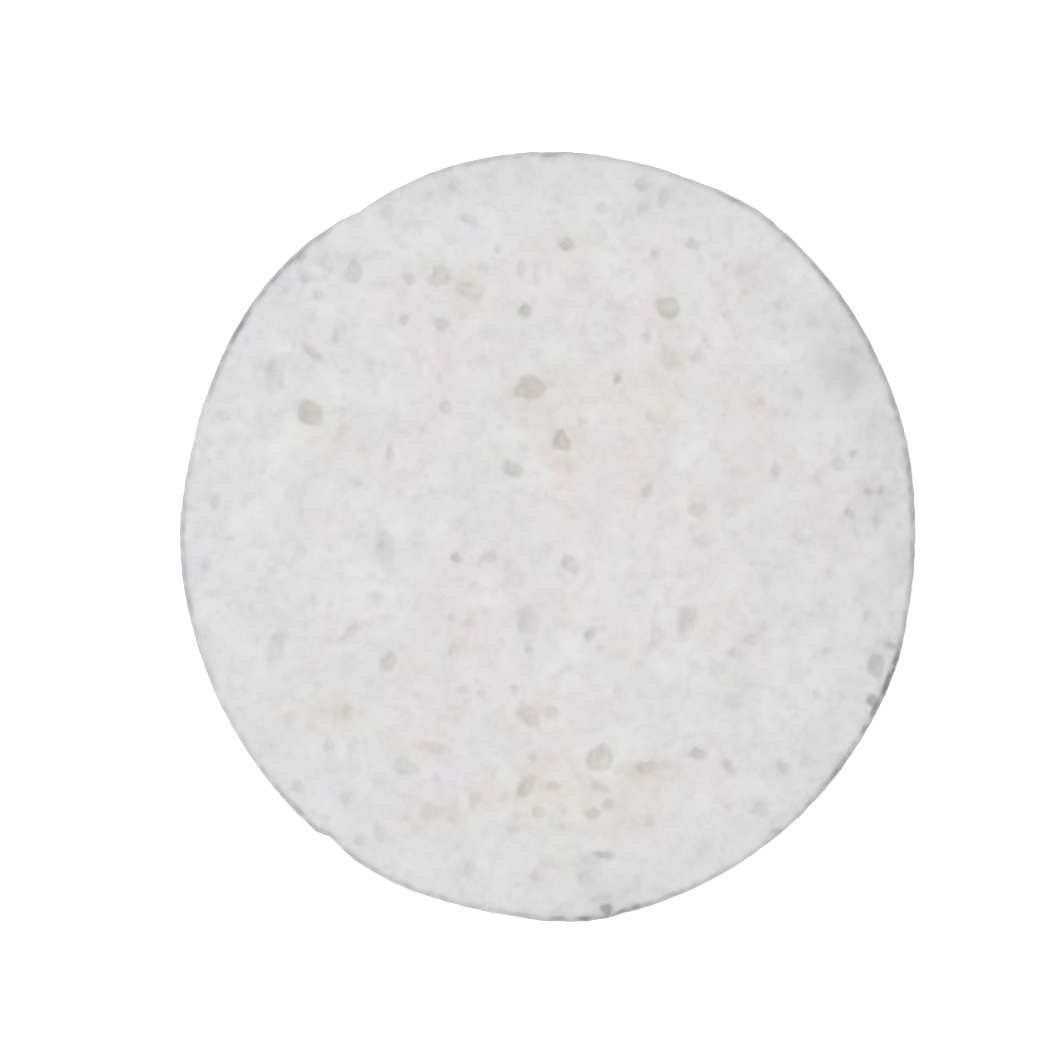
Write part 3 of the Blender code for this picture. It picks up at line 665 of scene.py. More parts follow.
def wander(xs, ys, reach, size, shifts):
    """How far a ragged outline is moved along X and along Y at each point."""
    return [reach * relief(xs, ys, size, shift) for shift in shifts]


def spot(x_share, y_share, length, width, turn):
    """A row's place and half sizes in metres, and its turn in radians."""
    halves = (length * MM / 2, width * MM / 2)
    return x_share * HALF_WIDTH, y_share * HALF_LENGTH, halves, math.radians(turn)


def in_oval(across, along, halves, turn):
    """Points from an oval's middle, as shares of its half length and half width."""
    first = (across * math.cos(turn) + along * math.sin(turn)) / halves[0]
    second = (along * math.cos(turn) - across * math.sin(turn)) / halves[1]
    return first, second


def solid_tree():
    return BVHTree.FromObject(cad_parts["sponge"], bpy.context.evaluated_depsgraph_get())


def wall_reach(solid, angle, height):
    """Distance from the middle to the solid's wall, in this direction at this height."""
    outwards = Vector((math.cos(angle), math.sin(angle), 0.0))
    start = outwards * (2.0 * HALF_LENGTH) + Vector((0.0, 0.0, height))
    found = solid.ray_cast(start, -outwards)[0]
    return found.xy.length


def underside_height(solid, x, y, reach):
    """Height of the solid's underside over this point, evened out this far around it."""
    found = 0.0
    steps = ((0, 0), (1, 0), (-1, 0), (0, 1), (0, -1))
    for across, along in steps:
        start = Vector((x + across * reach, y + along * reach, -THICKNESS))
        place = solid.ray_cast(start, Vector((0.0, 0.0, 1.0)))[0]
        found += place.z / len(steps) if place else 0.0
    return found


class Outline:
    """The cut edge: its distance from the middle in even directions."""

    def __init__(self, solid):
        levels = [share * THICKNESS for share in REACH_LEVELS]
        self.angles = np.linspace(0.0, math.tau, OUTLINE_POINTS, endpoint=False)
        self.cos = np.cos(self.angles)
        self.sin = np.sin(self.angles)
        self.solid_reach = np.array(
            [max(wall_reach(solid, angle, level) for level in levels) for angle in self.angles]
        )
        xs, ys = self.solid_reach * self.cos, self.solid_reach * self.sin
        ragged = relief(xs, ys, EDGE_RAGGED_SIZE, EDGE_SHIFT)
        self.reach = self.solid_reach + EDGE_RAGGEDNESS * ragged

    def at(self, xs, ys):
        """Distance from the middle to the edge, in the directions of these points."""
        angles = np.arctan2(ys, xs) % math.tau
        return np.interp(angles, self.angles, self.reach, period=math.tau)

    def loop(self, inset):
        """The outline's points, moved inwards."""
        return (self.reach - inset) * self.cos, (self.reach - inset) * self.sin


def underside_pores(draw):
    """Rows for the finer pores of the underside, scattered evenly."""
    rows = []
    for _ in range(UNDER_PORE_COUNT):
        out = UNDER_PORE_SPREAD * math.sqrt(draw.uniform())
        around = draw.uniform(0.0, math.tau)
        length = draw.uniform(*UNDER_PORE_LENGTHS)
        width = length * draw.uniform(*UNDER_PORE_SLIMNESS)
        turn = draw.uniform(0.0, 180.0)
        tint = UNDER_PORE_TINTS[draw.integers(len(UNDER_PORE_TINTS))]
        strength = draw.uniform(*UNDER_PORE_STRENGTHS)
        place = (out * math.cos(around), out * math.sin(around))
        rows.append((*place, length, width, turn, tint, strength))
    return rows


class Pore:
    """One pore: its place, size, turn, tint and strength, and the waves in its outline."""

    def __init__(self, row, draw):
        self.x, self.y, self.halves, self.turn = spot(*row[:5])
        self.tint, self.strength = row[5:]
        self.swings = draw.uniform(-1.0, 1.0, OUTLINE_WAVES)
        self.phases = draw.uniform(0.0, math.tau, OUTLINE_WAVES)

    def shares(self, xs, ys):
        """Which points are near this pore, and how far out each is, 1 being its outline."""
        reach = (1.0 + 2 * OUTLINE_WOBBLE) * (FINE_NET_SHARE * max(self.halves) + TINT_SOFTNESS)
        near = np.flatnonzero((abs(xs - self.x) < reach) & (abs(ys - self.y) < reach))
        aside, ahead = wander(xs[near], ys[near], PORE_RAGGEDNESS, PORE_RAGGED_SIZE, PORE_SHIFTS)
        across, along = xs[near] - self.x + aside, ys[near] - self.y + ahead
        first, second = in_oval(across, along, self.halves, self.turn)
        around = np.arctan2(second, first)
        wobble = sum(
            swing / waves * np.cos(waves * around + phase)
            for waves, (swing, phase) in enumerate(zip(self.swings, self.phases), 2)
        )
        return near, np.hypot(first, second) / (1.0 + 2 * OUTLINE_WOBBLE * wobble)


class Pores:
    """A side's pores: their depth, their tint and where they are, at any points."""

    def __init__(self, rows, draw):
        self.pores = [Pore(row, draw) for row in rows]

    def depth(self, xs, ys):
        found = np.zeros(len(xs))
        for pore in self.pores:
            near, share = pore.shares(xs, ys)
            deep = min(PORE_STEEPNESS * math.sqrt(pore.strength) * min(pore.halves), DEEPEST_PORE)
            found[near] = np.maximum(found[near], deep * smooth(MOUTH_SHARE, FLOOR_SHARE, share))
        return found

    def busy(self, xs, ys):
        """True where a pore needs the fine net."""
        found = np.zeros(len(xs), bool)
        for pore in self.pores:
            near, share = pore.shares(xs, ys)
            found[near] |= share < FINE_NET_SHARE
        return found

    def tint(self, xs, ys):
        """What each pore leaves of the colour, partly painted shade of its hollow, and how much of
        a pore each point is.
        """
        found = np.ones((len(xs), 3))
        mask = np.zeros(len(xs))
        for pore in self.pores:
            near, share = pore.shares(xs, ys)
            lump = relief(xs[near], ys[near], PORE_RAGGED_SIZE, PORE_TINT_SHIFT)
            softness = TINT_SOFTNESS / min(pore.halves)
            inside = smooth(1.0 + softness, 1.0 - softness, share) * (1.0 + PORE_UNEVENNESS * lump)
            found[near] *= 1.0 - pore.strength * inside[:, None] * (1.0 - np.array(pore.tint))
            mask[near] = np.maximum(mask[near], inside)
        return found, mask


def casts(xs, ys, from_edge):
    """The soft casts' share of the colour at each point, with painted shade towards the cut edge,
    and how warm each point is.
    """
    # Painted shade towards the cut edge
    swing = RIM_SHADE_SWING * np.cos(np.arctan2(ys, xs) - RIM_SHADE_DIRECTION)
    rim_shade = (RIM_SHADE_MEAN + swing) * smooth(*RIM_SHADE_BAND, from_edge)
    found = np.repeat(1.0 - rim_shade[:, None], 3, 1)
    warm = np.zeros(len(xs))
    ragged_xs, ragged_ys = xs, ys
    for raggedness, size in zip(CAST_RAGGEDNESS, CAST_RAGGED_SIZES):
        aside, ahead = wander(xs, ys, raggedness, size, CAST_SHIFTS)
        ragged_xs, ragged_ys = ragged_xs + aside, ragged_ys + ahead
    uneven = {
        tint: 1.0 + unevenness * relief(xs, ys, CAST_LUMP, shift)
        for tint, (unevenness, shift) in UNEVEN_CASTS.items()
    }
    for tint, rows in FACE_CASTS.items():
        for *row, strength in rows:
            x, y, halves, turn = spot(*row)
            first, second = in_oval(ragged_xs - x, ragged_ys - y, halves, turn)
            inside = strength * np.exp(-(first**2 + second**2)) * uneven.get(tint, 1.0)
            found *= 1.0 + inside[:, None] * (np.array(tint) - 1.0)
            if tint in WARM_CASTS:
                warm += inside
    return found, np.clip(warm, 0.0, 1.0)


def net(outline, inset, steps, busy, draw):
    """Points of a face inside its loop, close together where busy(xs, ys) is true."""
    found = []
    for step, wanted in zip(steps, (False, True)):
        across = np.arange(-HALF_WIDTH, HALF_WIDTH, step)
        along = np.arange(-HALF_LENGTH, HALF_LENGTH, step)
        xs, ys = (grid.ravel() for grid in np.meshgrid(across, along))
        xs = xs + draw.uniform(-NET_UNEVENNESS, NET_UNEVENNESS, len(xs)) * step
        ys = ys + draw.uniform(-NET_UNEVENNESS, NET_UNEVENNESS, len(ys)) * step
        inside = np.hypot(xs, ys) < outline.at(xs, ys) - inset - step / 2
        kept = inside & (busy(xs, ys) == wanted)
        found.append(np.column_stack((xs[kept], ys[kept])))
    return np.vstack(found)


def face_net(outline, inset, steps, busy, draw):
    """A face's points, its loop first, and its triangles, which face upwards."""
    loop = np.column_stack(outline.loop(inset))
    points = np.vstack((loop, net(outline, inset, steps, busy, draw)))
    points = [Vector(point) for point in points]
    made = delaunay_2d_cdt(points, [], [range(len(loop))], 1, NET_TOLERANCE)
    return np.array([point[:] for point in made[0]]), np.array(made[2])


def face_height(outline, xs, ys):
    """Height of the upper face without its pores: crowned at the edge and softly waved."""
    from_edge = outline.at(xs, ys) - np.hypot(xs, ys) - TOP_ROUNDING
    crown = CROWN_DROP * (1.0 - np.clip(from_edge / CROWN_REACH, 0.0, 1.0)) ** 2
    waves = WAVE_HEIGHT * (relief(xs, ys, WAVE_SIZE, WAVE_SHIFT) - 1.0) / 2
    grain = GRAIN_HEIGHT * (relief(xs, ys, GRAIN_SIZE, GRAIN_SHIFT) - 1.0) / 2
    return THICKNESS - crown + waves + grain


def underside(outline, solid, pores, draw):
    """The underside's points, its triangles, and how high the solid's bowls are at each point."""

    def pitted(xs, ys):
        bowls = [underside_height(solid, x, y, BOWL_FINE_REACH) for x, y in zip(xs, ys)]
        return (np.array(bowls) > BOWL_LEAST_HEIGHT) | pores.busy(xs, ys)

    foot, triangles = face_net(outline, FOOT_ROUNDING, UNDERSIDE_STEPS, pitted, draw)
    xs, ys = foot.T
    aside, ahead = wander(xs, ys, PORE_RAGGEDNESS, PORE_RAGGED_SIZE, BOWL_SHIFTS)
    places = zip(xs + aside, ys + ahead)
    bowls = np.array([underside_height(solid, x, y, BOWL_LIP) for x, y in places])
    zs = bowls + pores.depth(xs, ys)
    zs[:OUTLINE_POINTS] = 0.0
    return np.column_stack((foot, zs)), triangles, bowls


def edge_profile():
    """(inset, height) of each ring of the edge, from below the face to above the foot."""
    rows = []
    top, foot = THICKNESS - TOP_ROUNDING, FOOT_ROUNDING
    for step in range(1, TOP_ARC_STEPS + 1):
        turn = math.pi / 2 * step / TOP_ARC_STEPS
        inset, drop = TOP_ROUNDING * (1 - math.sin(turn)), TOP_ROUNDING * (1 - math.cos(turn))
        rows.append((inset, THICKNESS - drop))
    for step in range(1, WALL_STEPS):
        rows.append((0.0, top + (foot - top) * step / WALL_STEPS))
    for step in range(FOOT_ARC_STEPS):
        turn = math.pi / 2 * step / FOOT_ARC_STEPS
        rows.append((foot * (1 - math.cos(turn)), foot * (1 - math.sin(turn))))
    return rows


def wall_pits(outline, heights, draw):
    """How deep the fine pits go at each ring and direction."""
    found = np.zeros((len(heights), OUTLINE_POINTS))
    for _ in range(WALL_PIT_COUNT):
        angle = draw.uniform(0.0, math.tau)
        height = draw.uniform(*WALL_PIT_LEVELS) * THICKNESS
        half_length = draw.uniform(*WALL_PIT_LENGTHS) / 2
        half_height = draw.uniform(*WALL_PIT_HEIGHTS) / 2
        depth = draw.uniform(*WALL_PIT_DEPTHS)
        turned = (outline.angles - angle + math.pi) % math.tau - math.pi
        across = turned * HALF_WIDTH / half_length
        up = (heights[:, None] - height) / half_height
        share = np.hypot(across[None, :], up)
        found = np.maximum(found, depth * smooth(WALL_PIT_MOUTH, WALL_PIT_FLOOR, share))
    return found


def solid_slits(outline, solid, heights):
    """How deep the solid's own wall slits go, softened over their neighbours."""
    found = np.zeros((len(heights), OUTLINE_POINTS))
    low, high = FOOT_ROUNDING, THICKNESS - TOP_ROUNDING
    for ring, height in enumerate(heights):
        if low <= height <= high:
            reach = [wall_reach(solid, angle, height) for angle in outline.angles]
            found[ring] = outline.solid_reach - np.array(reach)
    found = np.clip(found, 0.0, DEEPEST_SLIT)
    return (np.roll(found, 1, 1) + 2 * found + np.roll(found, -1, 1)) / 4


def edge_rings(outline, solid, pores, draw):
    """The points of the edge, ring by ring, as one array of rings by directions by 3."""
    insets, heights = np.array(edge_profile()).T
    reach = outline.reach[None, :] - insets[:, None]
    reach = reach - solid_slits(outline, solid, heights) - wall_pits(outline, heights, draw)
    xs, ys = reach * outline.cos, reach * outline.sin
    drop = THICKNESS - face_height(outline, *outline.loop(TOP_ROUNDING))
    falling = smooth(FOOT_ROUNDING, THICKNESS - TOP_ROUNDING, heights)[:, None]
    zs = heights[:, None] - drop[None, :] * falling
    floor = THICKNESS - drop[None, :] - pores.depth(xs.ravel(), ys.ravel()).reshape(xs.shape)
    return np.stack((xs, ys, np.minimum(zs, floor)), -1)


def edge_shade_line(points, from_edge):
    """How far each point of the piece is darkened by the painted shade line along the cut edge."""
    xs, ys, zs = points.T
    degrees = np.degrees(np.arctan2(ys, xs)) % 360
    line_shade = np.interp(degrees, *zip(*EDGE_SHADE_LINE), period=360)
    line = smooth(*SHADE_LINE_BAND, from_edge) * (1.0 - SHADE_LINE_LEFT_AT_END * smooth(*SHADE_LINE_END, from_edge))
    on_wall = smooth(THICKNESS - TOP_ROUNDING / 2, THICKNESS / 2, zs)
    uneven = SHADE_LINE_EVENNESS + SHADE_LINE_UNEVENNESS * relief(xs, ys, SHADE_LINE_LUMP, SHADE_LINE_SHIFT, zs)
    return np.clip(line_shade * line * uneven, 0.0, 1.0) * (1.0 - (1.0 - SHADE_LINE_ON_WALL) * on_wall)


def strip_faces(rings):
    """Quads between rings of point numbers, which run from the top down."""
    faces = []
    for upper, lower in zip(rings, rings[1:]):
        ahead_upper, ahead_lower = np.roll(upper, -1), np.roll(lower, -1)
        faces.append(np.column_stack((lower, ahead_lower, ahead_upper, upper)))
    return np.vstack(faces)


def unwrap(mesh, outline, foot_start, ring_start, foot_corners):
    """Lays the face, with its edge spread out round it, and the underside flat.

    They are two rounds that touch on a square's diagonal.
    """
    rows = [(TOP_ROUNDING, THICKNESS), *edge_profile(), (FOOT_ROUNDING, 0.0)]
    lengths = np.cumsum(np.hypot(*np.diff(rows, axis=0).T))
    ways = np.column_stack((outline.cos, outline.sin))
    spread = [ways * (outline.reach[:, None] - TOP_ROUNDING + length) for length in lengths]
    flat = np.zeros(3 * len(mesh.vertices))
    mesh.vertices.foreach_get("co", flat)
    flat = flat.reshape(-1, 3)[:, :2]
    numbers = np.zeros(len(mesh.loops), int)
    mesh.loops.foreach_get("vertex_index", numbers)
    foot = flat[numbers[foot_corners]] * (-1.0, 1.0)
    flat[ring_start:] = np.vstack(spread[:-1])
    flat[foot_start:foot_start + OUTLINE_POINTS] = spread[-1]

    face_half = UNWRAP_GAP + max(np.hypot(*spread[-1].T))
    foot_half = UNWRAP_GAP + max(outline.reach)
    side = (face_half + foot_half) * (1.0 + math.sqrt(0.5))
    places = flat[numbers] + face_half
    places[foot_corners] = foot + side - foot_half
    mesh.uv_layers.new(name="OFBake").data.foreach_set("uv", (places / side).ravel())


def add_attribute(mesh, name, values):
    """Keeps a number or a colour for each point of the mesh."""
    if values.ndim == 1:
        mesh.attributes.new(name, "FLOAT", "POINT").data.foreach_set("value", values)
    else:
        colours = np.column_stack((values, np.ones(len(values)))).ravel()
        mesh.attributes.new(name, "FLOAT_COLOR", "POINT").data.foreach_set("color", colours)


def stain(mesh, outline, points, pores, under_pores, bowls, foot_start, ring_start):
    """Keeps the tint, with its painted shade, the warmth, the pores and the fraying of each point
    with the mesh.
    """
    xs, ys, zs = points.T
    from_edge = outline.at(xs, ys) - np.hypot(xs, ys)
    tint, mask = pores.tint(xs, ys)
    low, high = FACE_COLOUR_END
    upper = smooth(low * THICKNESS, high * THICKNESS, zs)
    upper[:foot_start] = 1.0
    cast, warm = casts(xs, ys, from_edge)
    # Painted shade: a grey line along the cut edge, fading down the wall
    line_shade = edge_shade_line(points, from_edge)
    colour = 1.0 + upper[:, None] * (tint * cast - 1.0)
    colour *= 1.0 - line_shade[:, None] * (1.0 - SHADE_LINE_TINT)

    under = slice(foot_start, ring_start)
    under_tint, under_mask = under_pores.tint(xs[under], ys[under])
    # The bowls darken as they go deeper: a beige hue with painted shade of the hollows
    in_bowl = smooth(0.0, BOWL_FULL_TINT, bowls)
    colour[under] *= under_tint * (1.0 - in_bowl[:, None] * (1.0 - np.array(BEIGE)))
    mask *= upper
    mask[under] = np.maximum(under_mask, in_bowl)

    at_edge = smooth(*FRAY_BAND, from_edge)
    fray = np.maximum(FRAY_ON_FACE, np.maximum(FRAY_AT_PORES * mask, FRAY_AT_EDGE * at_edge))
    add_attribute(mesh, "tint", colour)
    add_attribute(mesh, "warm", np.maximum(warm * upper, UNDER_WARMTH * (1.0 - upper)))
    add_attribute(mesh, "pore", mask)
    add_attribute(mesh, "fray", fray * smooth(FRAY_START, 2 * FRAY_START, zs))


def make_disc():
    """The sponge: its face, its underside and the cut edge between them, as one mesh."""
    draw = np.random.default_rng(SEED)
    under_draw = np.random.default_rng(SEED + 1)
    solid = solid_tree()
    outline = Outline(solid)
    pores = Pores(FACE_PORES, draw)
    under_pores = Pores(underside_pores(under_draw), under_draw)

    face, face_triangles = face_net(outline, TOP_ROUNDING, FACE_STEPS, pores.busy, draw)
    face_zs = face_height(outline, *face.T) - pores.depth(*face.T)
    foot, foot_triangles, bowls = underside(outline, solid, under_pores, draw)
    rings = edge_rings(outline, solid, pores, draw)
    points = np.vstack((np.column_stack((face, face_zs)), foot, rings.reshape(-1, 3)))

    foot_start = len(face)
    ring_start = len(face) + len(foot)
    starts = [0, *range(ring_start, len(points), OUTLINE_POINTS), foot_start]
    numbers = [start + np.arange(OUTLINE_POINTS) for start in starts]
    faces = face_triangles.tolist()
    faces += (foot_start + foot_triangles[:, ::-1]).tolist()
    faces += strip_faces(numbers).tolist()

    mesh = bpy.data.meshes.new("sponge_disc")
    mesh.from_pydata(points.tolist(), [], faces)
    mesh.shade_smooth()
    foot_corners = slice(3 * len(face_triangles), 3 * (len(face_triangles) + len(foot_triangles)))
    unwrap(mesh, outline, foot_start, ring_start, foot_corners)
    stain(mesh, outline, points, pores, under_pores, bowls, foot_start, ring_start)
    return new_object("sponge_disc", mesh)


def new_tree(name, sizes):
    """A geometry tree with a geometry input, these named inputs and a geometry output."""
    tree = bpy.data.node_groups.new(name, "GeometryNodeTree")
    tree.interface.new_socket("Geometry", in_out="INPUT", socket_type="NodeSocketGeometry")
    keys = {}
    for size in sizes:
        kind = "NodeSocketInt" if size == "Seed" else "NodeSocketFloat"
        keys[size] = tree.interface.new_socket(size, in_out="INPUT", socket_type=kind).identifier
    tree.interface.new_socket("Geometry", in_out="OUTPUT", socket_type="NodeSocketGeometry")
    nodes = Nodes(tree)
    group = tree.nodes.new("NodeGroupInput")
    inputs = {socket.name: Value(nodes, socket) for socket in group.outputs if socket.name}
    return nodes, inputs, keys


def finish_tree(nodes, geometry, material):
    """Ends a tree: real geometry in one finish."""
    real = nodes.add("GeometryNodeRealizeInstances", None, {"Geometry": geometry})
    dressed = nodes.add("GeometryNodeSetMaterial", None, {"Geometry": real, "Material": material})
    nodes.add("NodeGroupOutput", None, {0: dressed})


def run_tree(obj, nodes, keys, sizes):
    """Runs a tree on an object and keeps the result as its plain mesh."""
    modifier = obj.modifiers.new(nodes.tree.name, "NODES")
    modifier.node_group = nodes.tree
    for name, size in sizes.items():
        modifier[keys[name]] = size
    depsgraph = bpy.context.evaluated_depsgraph_get()
    made = bpy.data.meshes.new_from_object(
        obj.evaluated_get(depsgraph), preserve_all_data_layers=True, depsgraph=depsgraph
    )
    obj.modifiers.remove(modifier)
    obj.data = made
    made.name = obj.name


def joined(nodes, parts):
    """A vector from its parts, those left out being 0."""
    return nodes.add("ShaderNodeCombineXYZ", None, parts)


def vector_math(nodes, operation, first, second, output=0):
    settings = {"operation": operation}
    return nodes.add("ShaderNodeVectorMath", settings, {0: first, 1: second}, output)


def scaled(nodes, vector, factor):
    return nodes.add("ShaderNodeVectorMath", {"operation": "SCALE"}, {0: vector, "Scale": factor})


def smooth_range(nodes, value, start, end, at_start, at_end):
    """Goes smoothly from at_start to at_end as the value goes from start to end."""
    return nodes.add(
        "ShaderNodeMapRange",
        {"interpolation_type": "SMOOTHSTEP"},
        {"Value": value, "From Min": start, "From Max": end, "To Min": at_start, "To Max": at_end},
    )


def random_number(nodes, low, high, sockets):
    """A random number from low to high. The sockets hold its seed, and its index if it has one."""
    return nodes.add(
        "FunctionNodeRandomValue",
        {"data_type": "FLOAT"},
        {"Min_001": low, "Max_001": high, **sockets},
        "Value_001",
    )


def dent_surface(disc, material):
    """Presses soft dips into the whole surface, one round each scattered point."""
    sizes = {"Spacing": DIP_SPACING, "Width": DIP_WIDTH, "Depth": DIP_DEPTH, "Seed": SEED}
    nodes, inputs, keys = new_tree("soft_dips", sizes)
    surface, seed = inputs["Geometry"], inputs["Seed"]
    scatter = {
        "Mesh": surface,
        "Distance Min": inputs["Spacing"],
        "Density Max": MOST_DIPS_PER_SQUARE_METRE,
        "Seed": seed,
    }
    points = nodes.add(
        "GeometryNodeDistributePointsOnFaces", {"distribute_method": "POISSON"}, scatter
    )
    place = nodes.add("GeometryNodeInputPosition")
    nearest = nodes.add(
        "GeometryNodeSampleNearest", None, {"Geometry": points, "Sample Position": place}
    )
    middle = nodes.add(
        "GeometryNodeSampleIndex",
        {"data_type": "FLOAT_VECTOR"},
        {"Geometry": points, "Value": place, "Index": nearest},
    )
    away = vector_math(nodes, "DISTANCE", place, middle, "Value")
    size = random_number(nodes, SMALLEST_DIP, 1.0, {"ID": nearest, "Seed": seed})
    inside = smooth_range(nodes, away, 0.0, inputs["Width"] * size, 1.0, 0.0)
    normal = nodes.add("GeometryNodeInputNormal")
    push = scaled(nodes, normal, inputs["Depth"] * size * inside * -1.0)
    moved = nodes.add("GeometryNodeSetPosition", None, {"Geometry": surface, "Offset": push})
    kept = nodes.add(
        "GeometryNodeStoreNamedAttribute",
        {"data_type": "FLOAT", "domain": "POINT"},
        {"Geometry": moved, "Name": "dip", "Value": inside * size},
    )
    finish_tree(nodes, kept, material)
    run_tree(disc, nodes, keys, sizes)


def fibre_curve(nodes, inputs):
    """One loose fibre: a thin bowed tube lying along X and lifted a little in its middle."""
    half = inputs["Length"] * 0.5
    sink = inputs["Lift"] * -FIBRE_END_SINK
    bend = {
        "Resolution": FIBRE_STEPS,
        "Start": joined(nodes, {"X": half * -1.0, "Z": sink}),
        "Middle": joined(nodes, {"Y": inputs["Bow"], "Z": inputs["Lift"] * 2.0}),
        "End": joined(nodes, {"X": half, "Z": sink}),
    }
    line = nodes.add("GeometryNodeCurveQuadraticBezier", None, bend)
    ring = nodes.add(
        "GeometryNodeCurvePrimitiveCircle",
        None,
        {"Resolution": FIBRE_SIDES, "Radius": inputs["Thickness"] * 0.5},
    )
    tube = {"Curve": line, "Profile Curve": ring, "Fill Caps": True}
    return nodes.add("GeometryNodeCurveToMesh", None, tube)


def make_fibres(disc, material):
    """Loose fibres over the disc, most of them along its cut edge and round its pores."""
    fibres = new_object("loose_fibres", disc.data.copy())
    fibres.data.uv_layers.remove(fibres.data.uv_layers[0])
    sizes = {
        "Length": FIBRE_LENGTH,
        "Thickness": FIBRE_THICKNESS,
        "Bow": FIBRE_BOW,
        "Lift": FIBRE_LIFT,
        "Density": FIBRES_PER_SQUARE_METRE,
        "Seed": SEED,
    }
    nodes, inputs, keys = new_tree("loose_fibres", sizes)
    seed = inputs["Seed"]
    fray = nodes.add("GeometryNodeInputNamedAttribute", {"data_type": "FLOAT"}, {"Name": "fray"})
    spots = nodes.add(
        "GeometryNodeDistributePointsOnFaces",
        {"distribute_method": "RANDOM"},
        {"Mesh": inputs["Geometry"], "Density": inputs["Density"] * fray, "Seed": seed},
        "Points",
    )
    upright = nodes.add(
        "FunctionNodeAlignRotationToVector", {"axis": "Z"}, {"Vector": spots.other("Normal")}
    )
    spin = joined(nodes, {"Z": random_number(nodes, 0.0, math.tau, {"Seed": seed + 1.0})})
    turned = nodes.add(
        "FunctionNodeRotateRotation",
        {"rotation_space": "LOCAL"},
        {"Rotation": upright, "Rotate By": spin},
    )
    scale = nodes.add(
        "FunctionNodeRandomValue",
        {"data_type": "FLOAT_VECTOR"},
        {"Min": FIBRE_LEAST_SCALE, "Max": FIBRE_MOST_SCALE, "Seed": seed + 2.0},
        "Value",
    )
    fibre = fibre_curve(nodes, inputs)
    placed = nodes.add(
        "GeometryNodeInstanceOnPoints",
        None,
        {"Points": spots, "Instance": fibre, "Rotation": turned, "Scale": scale},
    )
    finish_tree(nodes, placed, material)
    run_tree(fibres, nodes, keys, sizes)
    fibres.data.shade_smooth()
    return fibres


def attribute(nodes, name, output="Fac"):
    """What add_attribute or a tree kept with the mesh under this name."""
    return nodes.add("ShaderNodeAttribute", {"attribute_name": name}, None, output)


def combined(nodes, red, green, blue):
    """A colour from its three parts."""
    return nodes.add("ShaderNodeCombineColor", None, {"Red": red, "Green": green, "Blue": blue})


def multiplied(nodes, first, second):
    """One colour times another."""
    return nodes.add(
        "ShaderNodeMix",
        {"data_type": "RGBA", "blend_type": "MULTIPLY"},
        {"Factor_Float": 1.0, "A_Color": first, "B_Color": second},
        "Result_Color",
    )


def lumps(nodes, place, size, detail):
    """Noise of 0 to 1 with lumps of this size."""
    return nodes.add(
        "ShaderNodeTexNoise",
        {"noise_dimensions": "3D"},
        {"Vector": place, "Scale": 1.0 / size, "Detail": detail, "Roughness": NOISE_ROUGHNESS},
    )


def vector_lumps(nodes, place, size, detail):
    """Noise around 0 in each of three ways, with lumps of this size."""
    mixed = lumps(nodes, place, size, detail).other("Color")
    return vector_math(nodes, "SUBTRACT", mixed, (NOISE_MIDDLE,) * 3)


def colour_lumps(nodes, place, size, spread):
    """Faint casts of mixed hue, with lumps of this size."""
    around = scaled(nodes, vector_lumps(nodes, place, size, detail=1.5), spread)
    return vector_math(nodes, "ADD", around, (1.0, 1.0, 1.0))


def patch(nodes, place, size):
    """Islands of 0 to 1 with ragged outlines, some of them stronger than others."""
    ragged = lumps(nodes, place, size, detail=3.0)
    strength = lumps(nodes, place, size * PATCH_STRENGTH_SIZE, detail=0.0)
    return smooth_range(nodes, ragged, *PATCH_LEVELS, 0.0, 1.0) * strength


def closed_cells(nodes, place, size):
    """Closed cells seen through the skin: 0 to 1, with cells of up to this size."""
    bend = vector_lumps(nodes, place, size / BENDS_PER_CELL, detail=2.0)
    bent = vector_math(nodes, "ADD", place, scaled(nodes, bend, size * CELL_BEND))
    cells = {"Vector": bent, "Scale": 1.0 / size}
    away = nodes.add("ShaderNodeTexVoronoi", {"feature": "F1"}, cells, "Distance")
    random = nodes.add("ShaderNodeSeparateColor", None, {"Color": away.other("Color")}, "Red")
    radius = CELL_LEAST_RADIUS + random * CELL_RADIUS_SPREAD
    inside = smooth_range(nodes, away, radius * CELL_FLOOR, radius, 1.0, 0.0)
    strong = random.other("Green")
    return inside * strong * strong


def new_material(name):
    material = bpy.data.materials.new(name)
    material.use_nodes = True
    material.node_tree.nodes.clear()
    return material, Nodes(material.node_tree)


def principled(nodes, sockets):
    """The shader and the output of a material."""
    shader = nodes.add("ShaderNodeBsdfPrincipled", None, sockets)
    nodes.add("ShaderNodeOutputMaterial", None, {"Surface": shader})


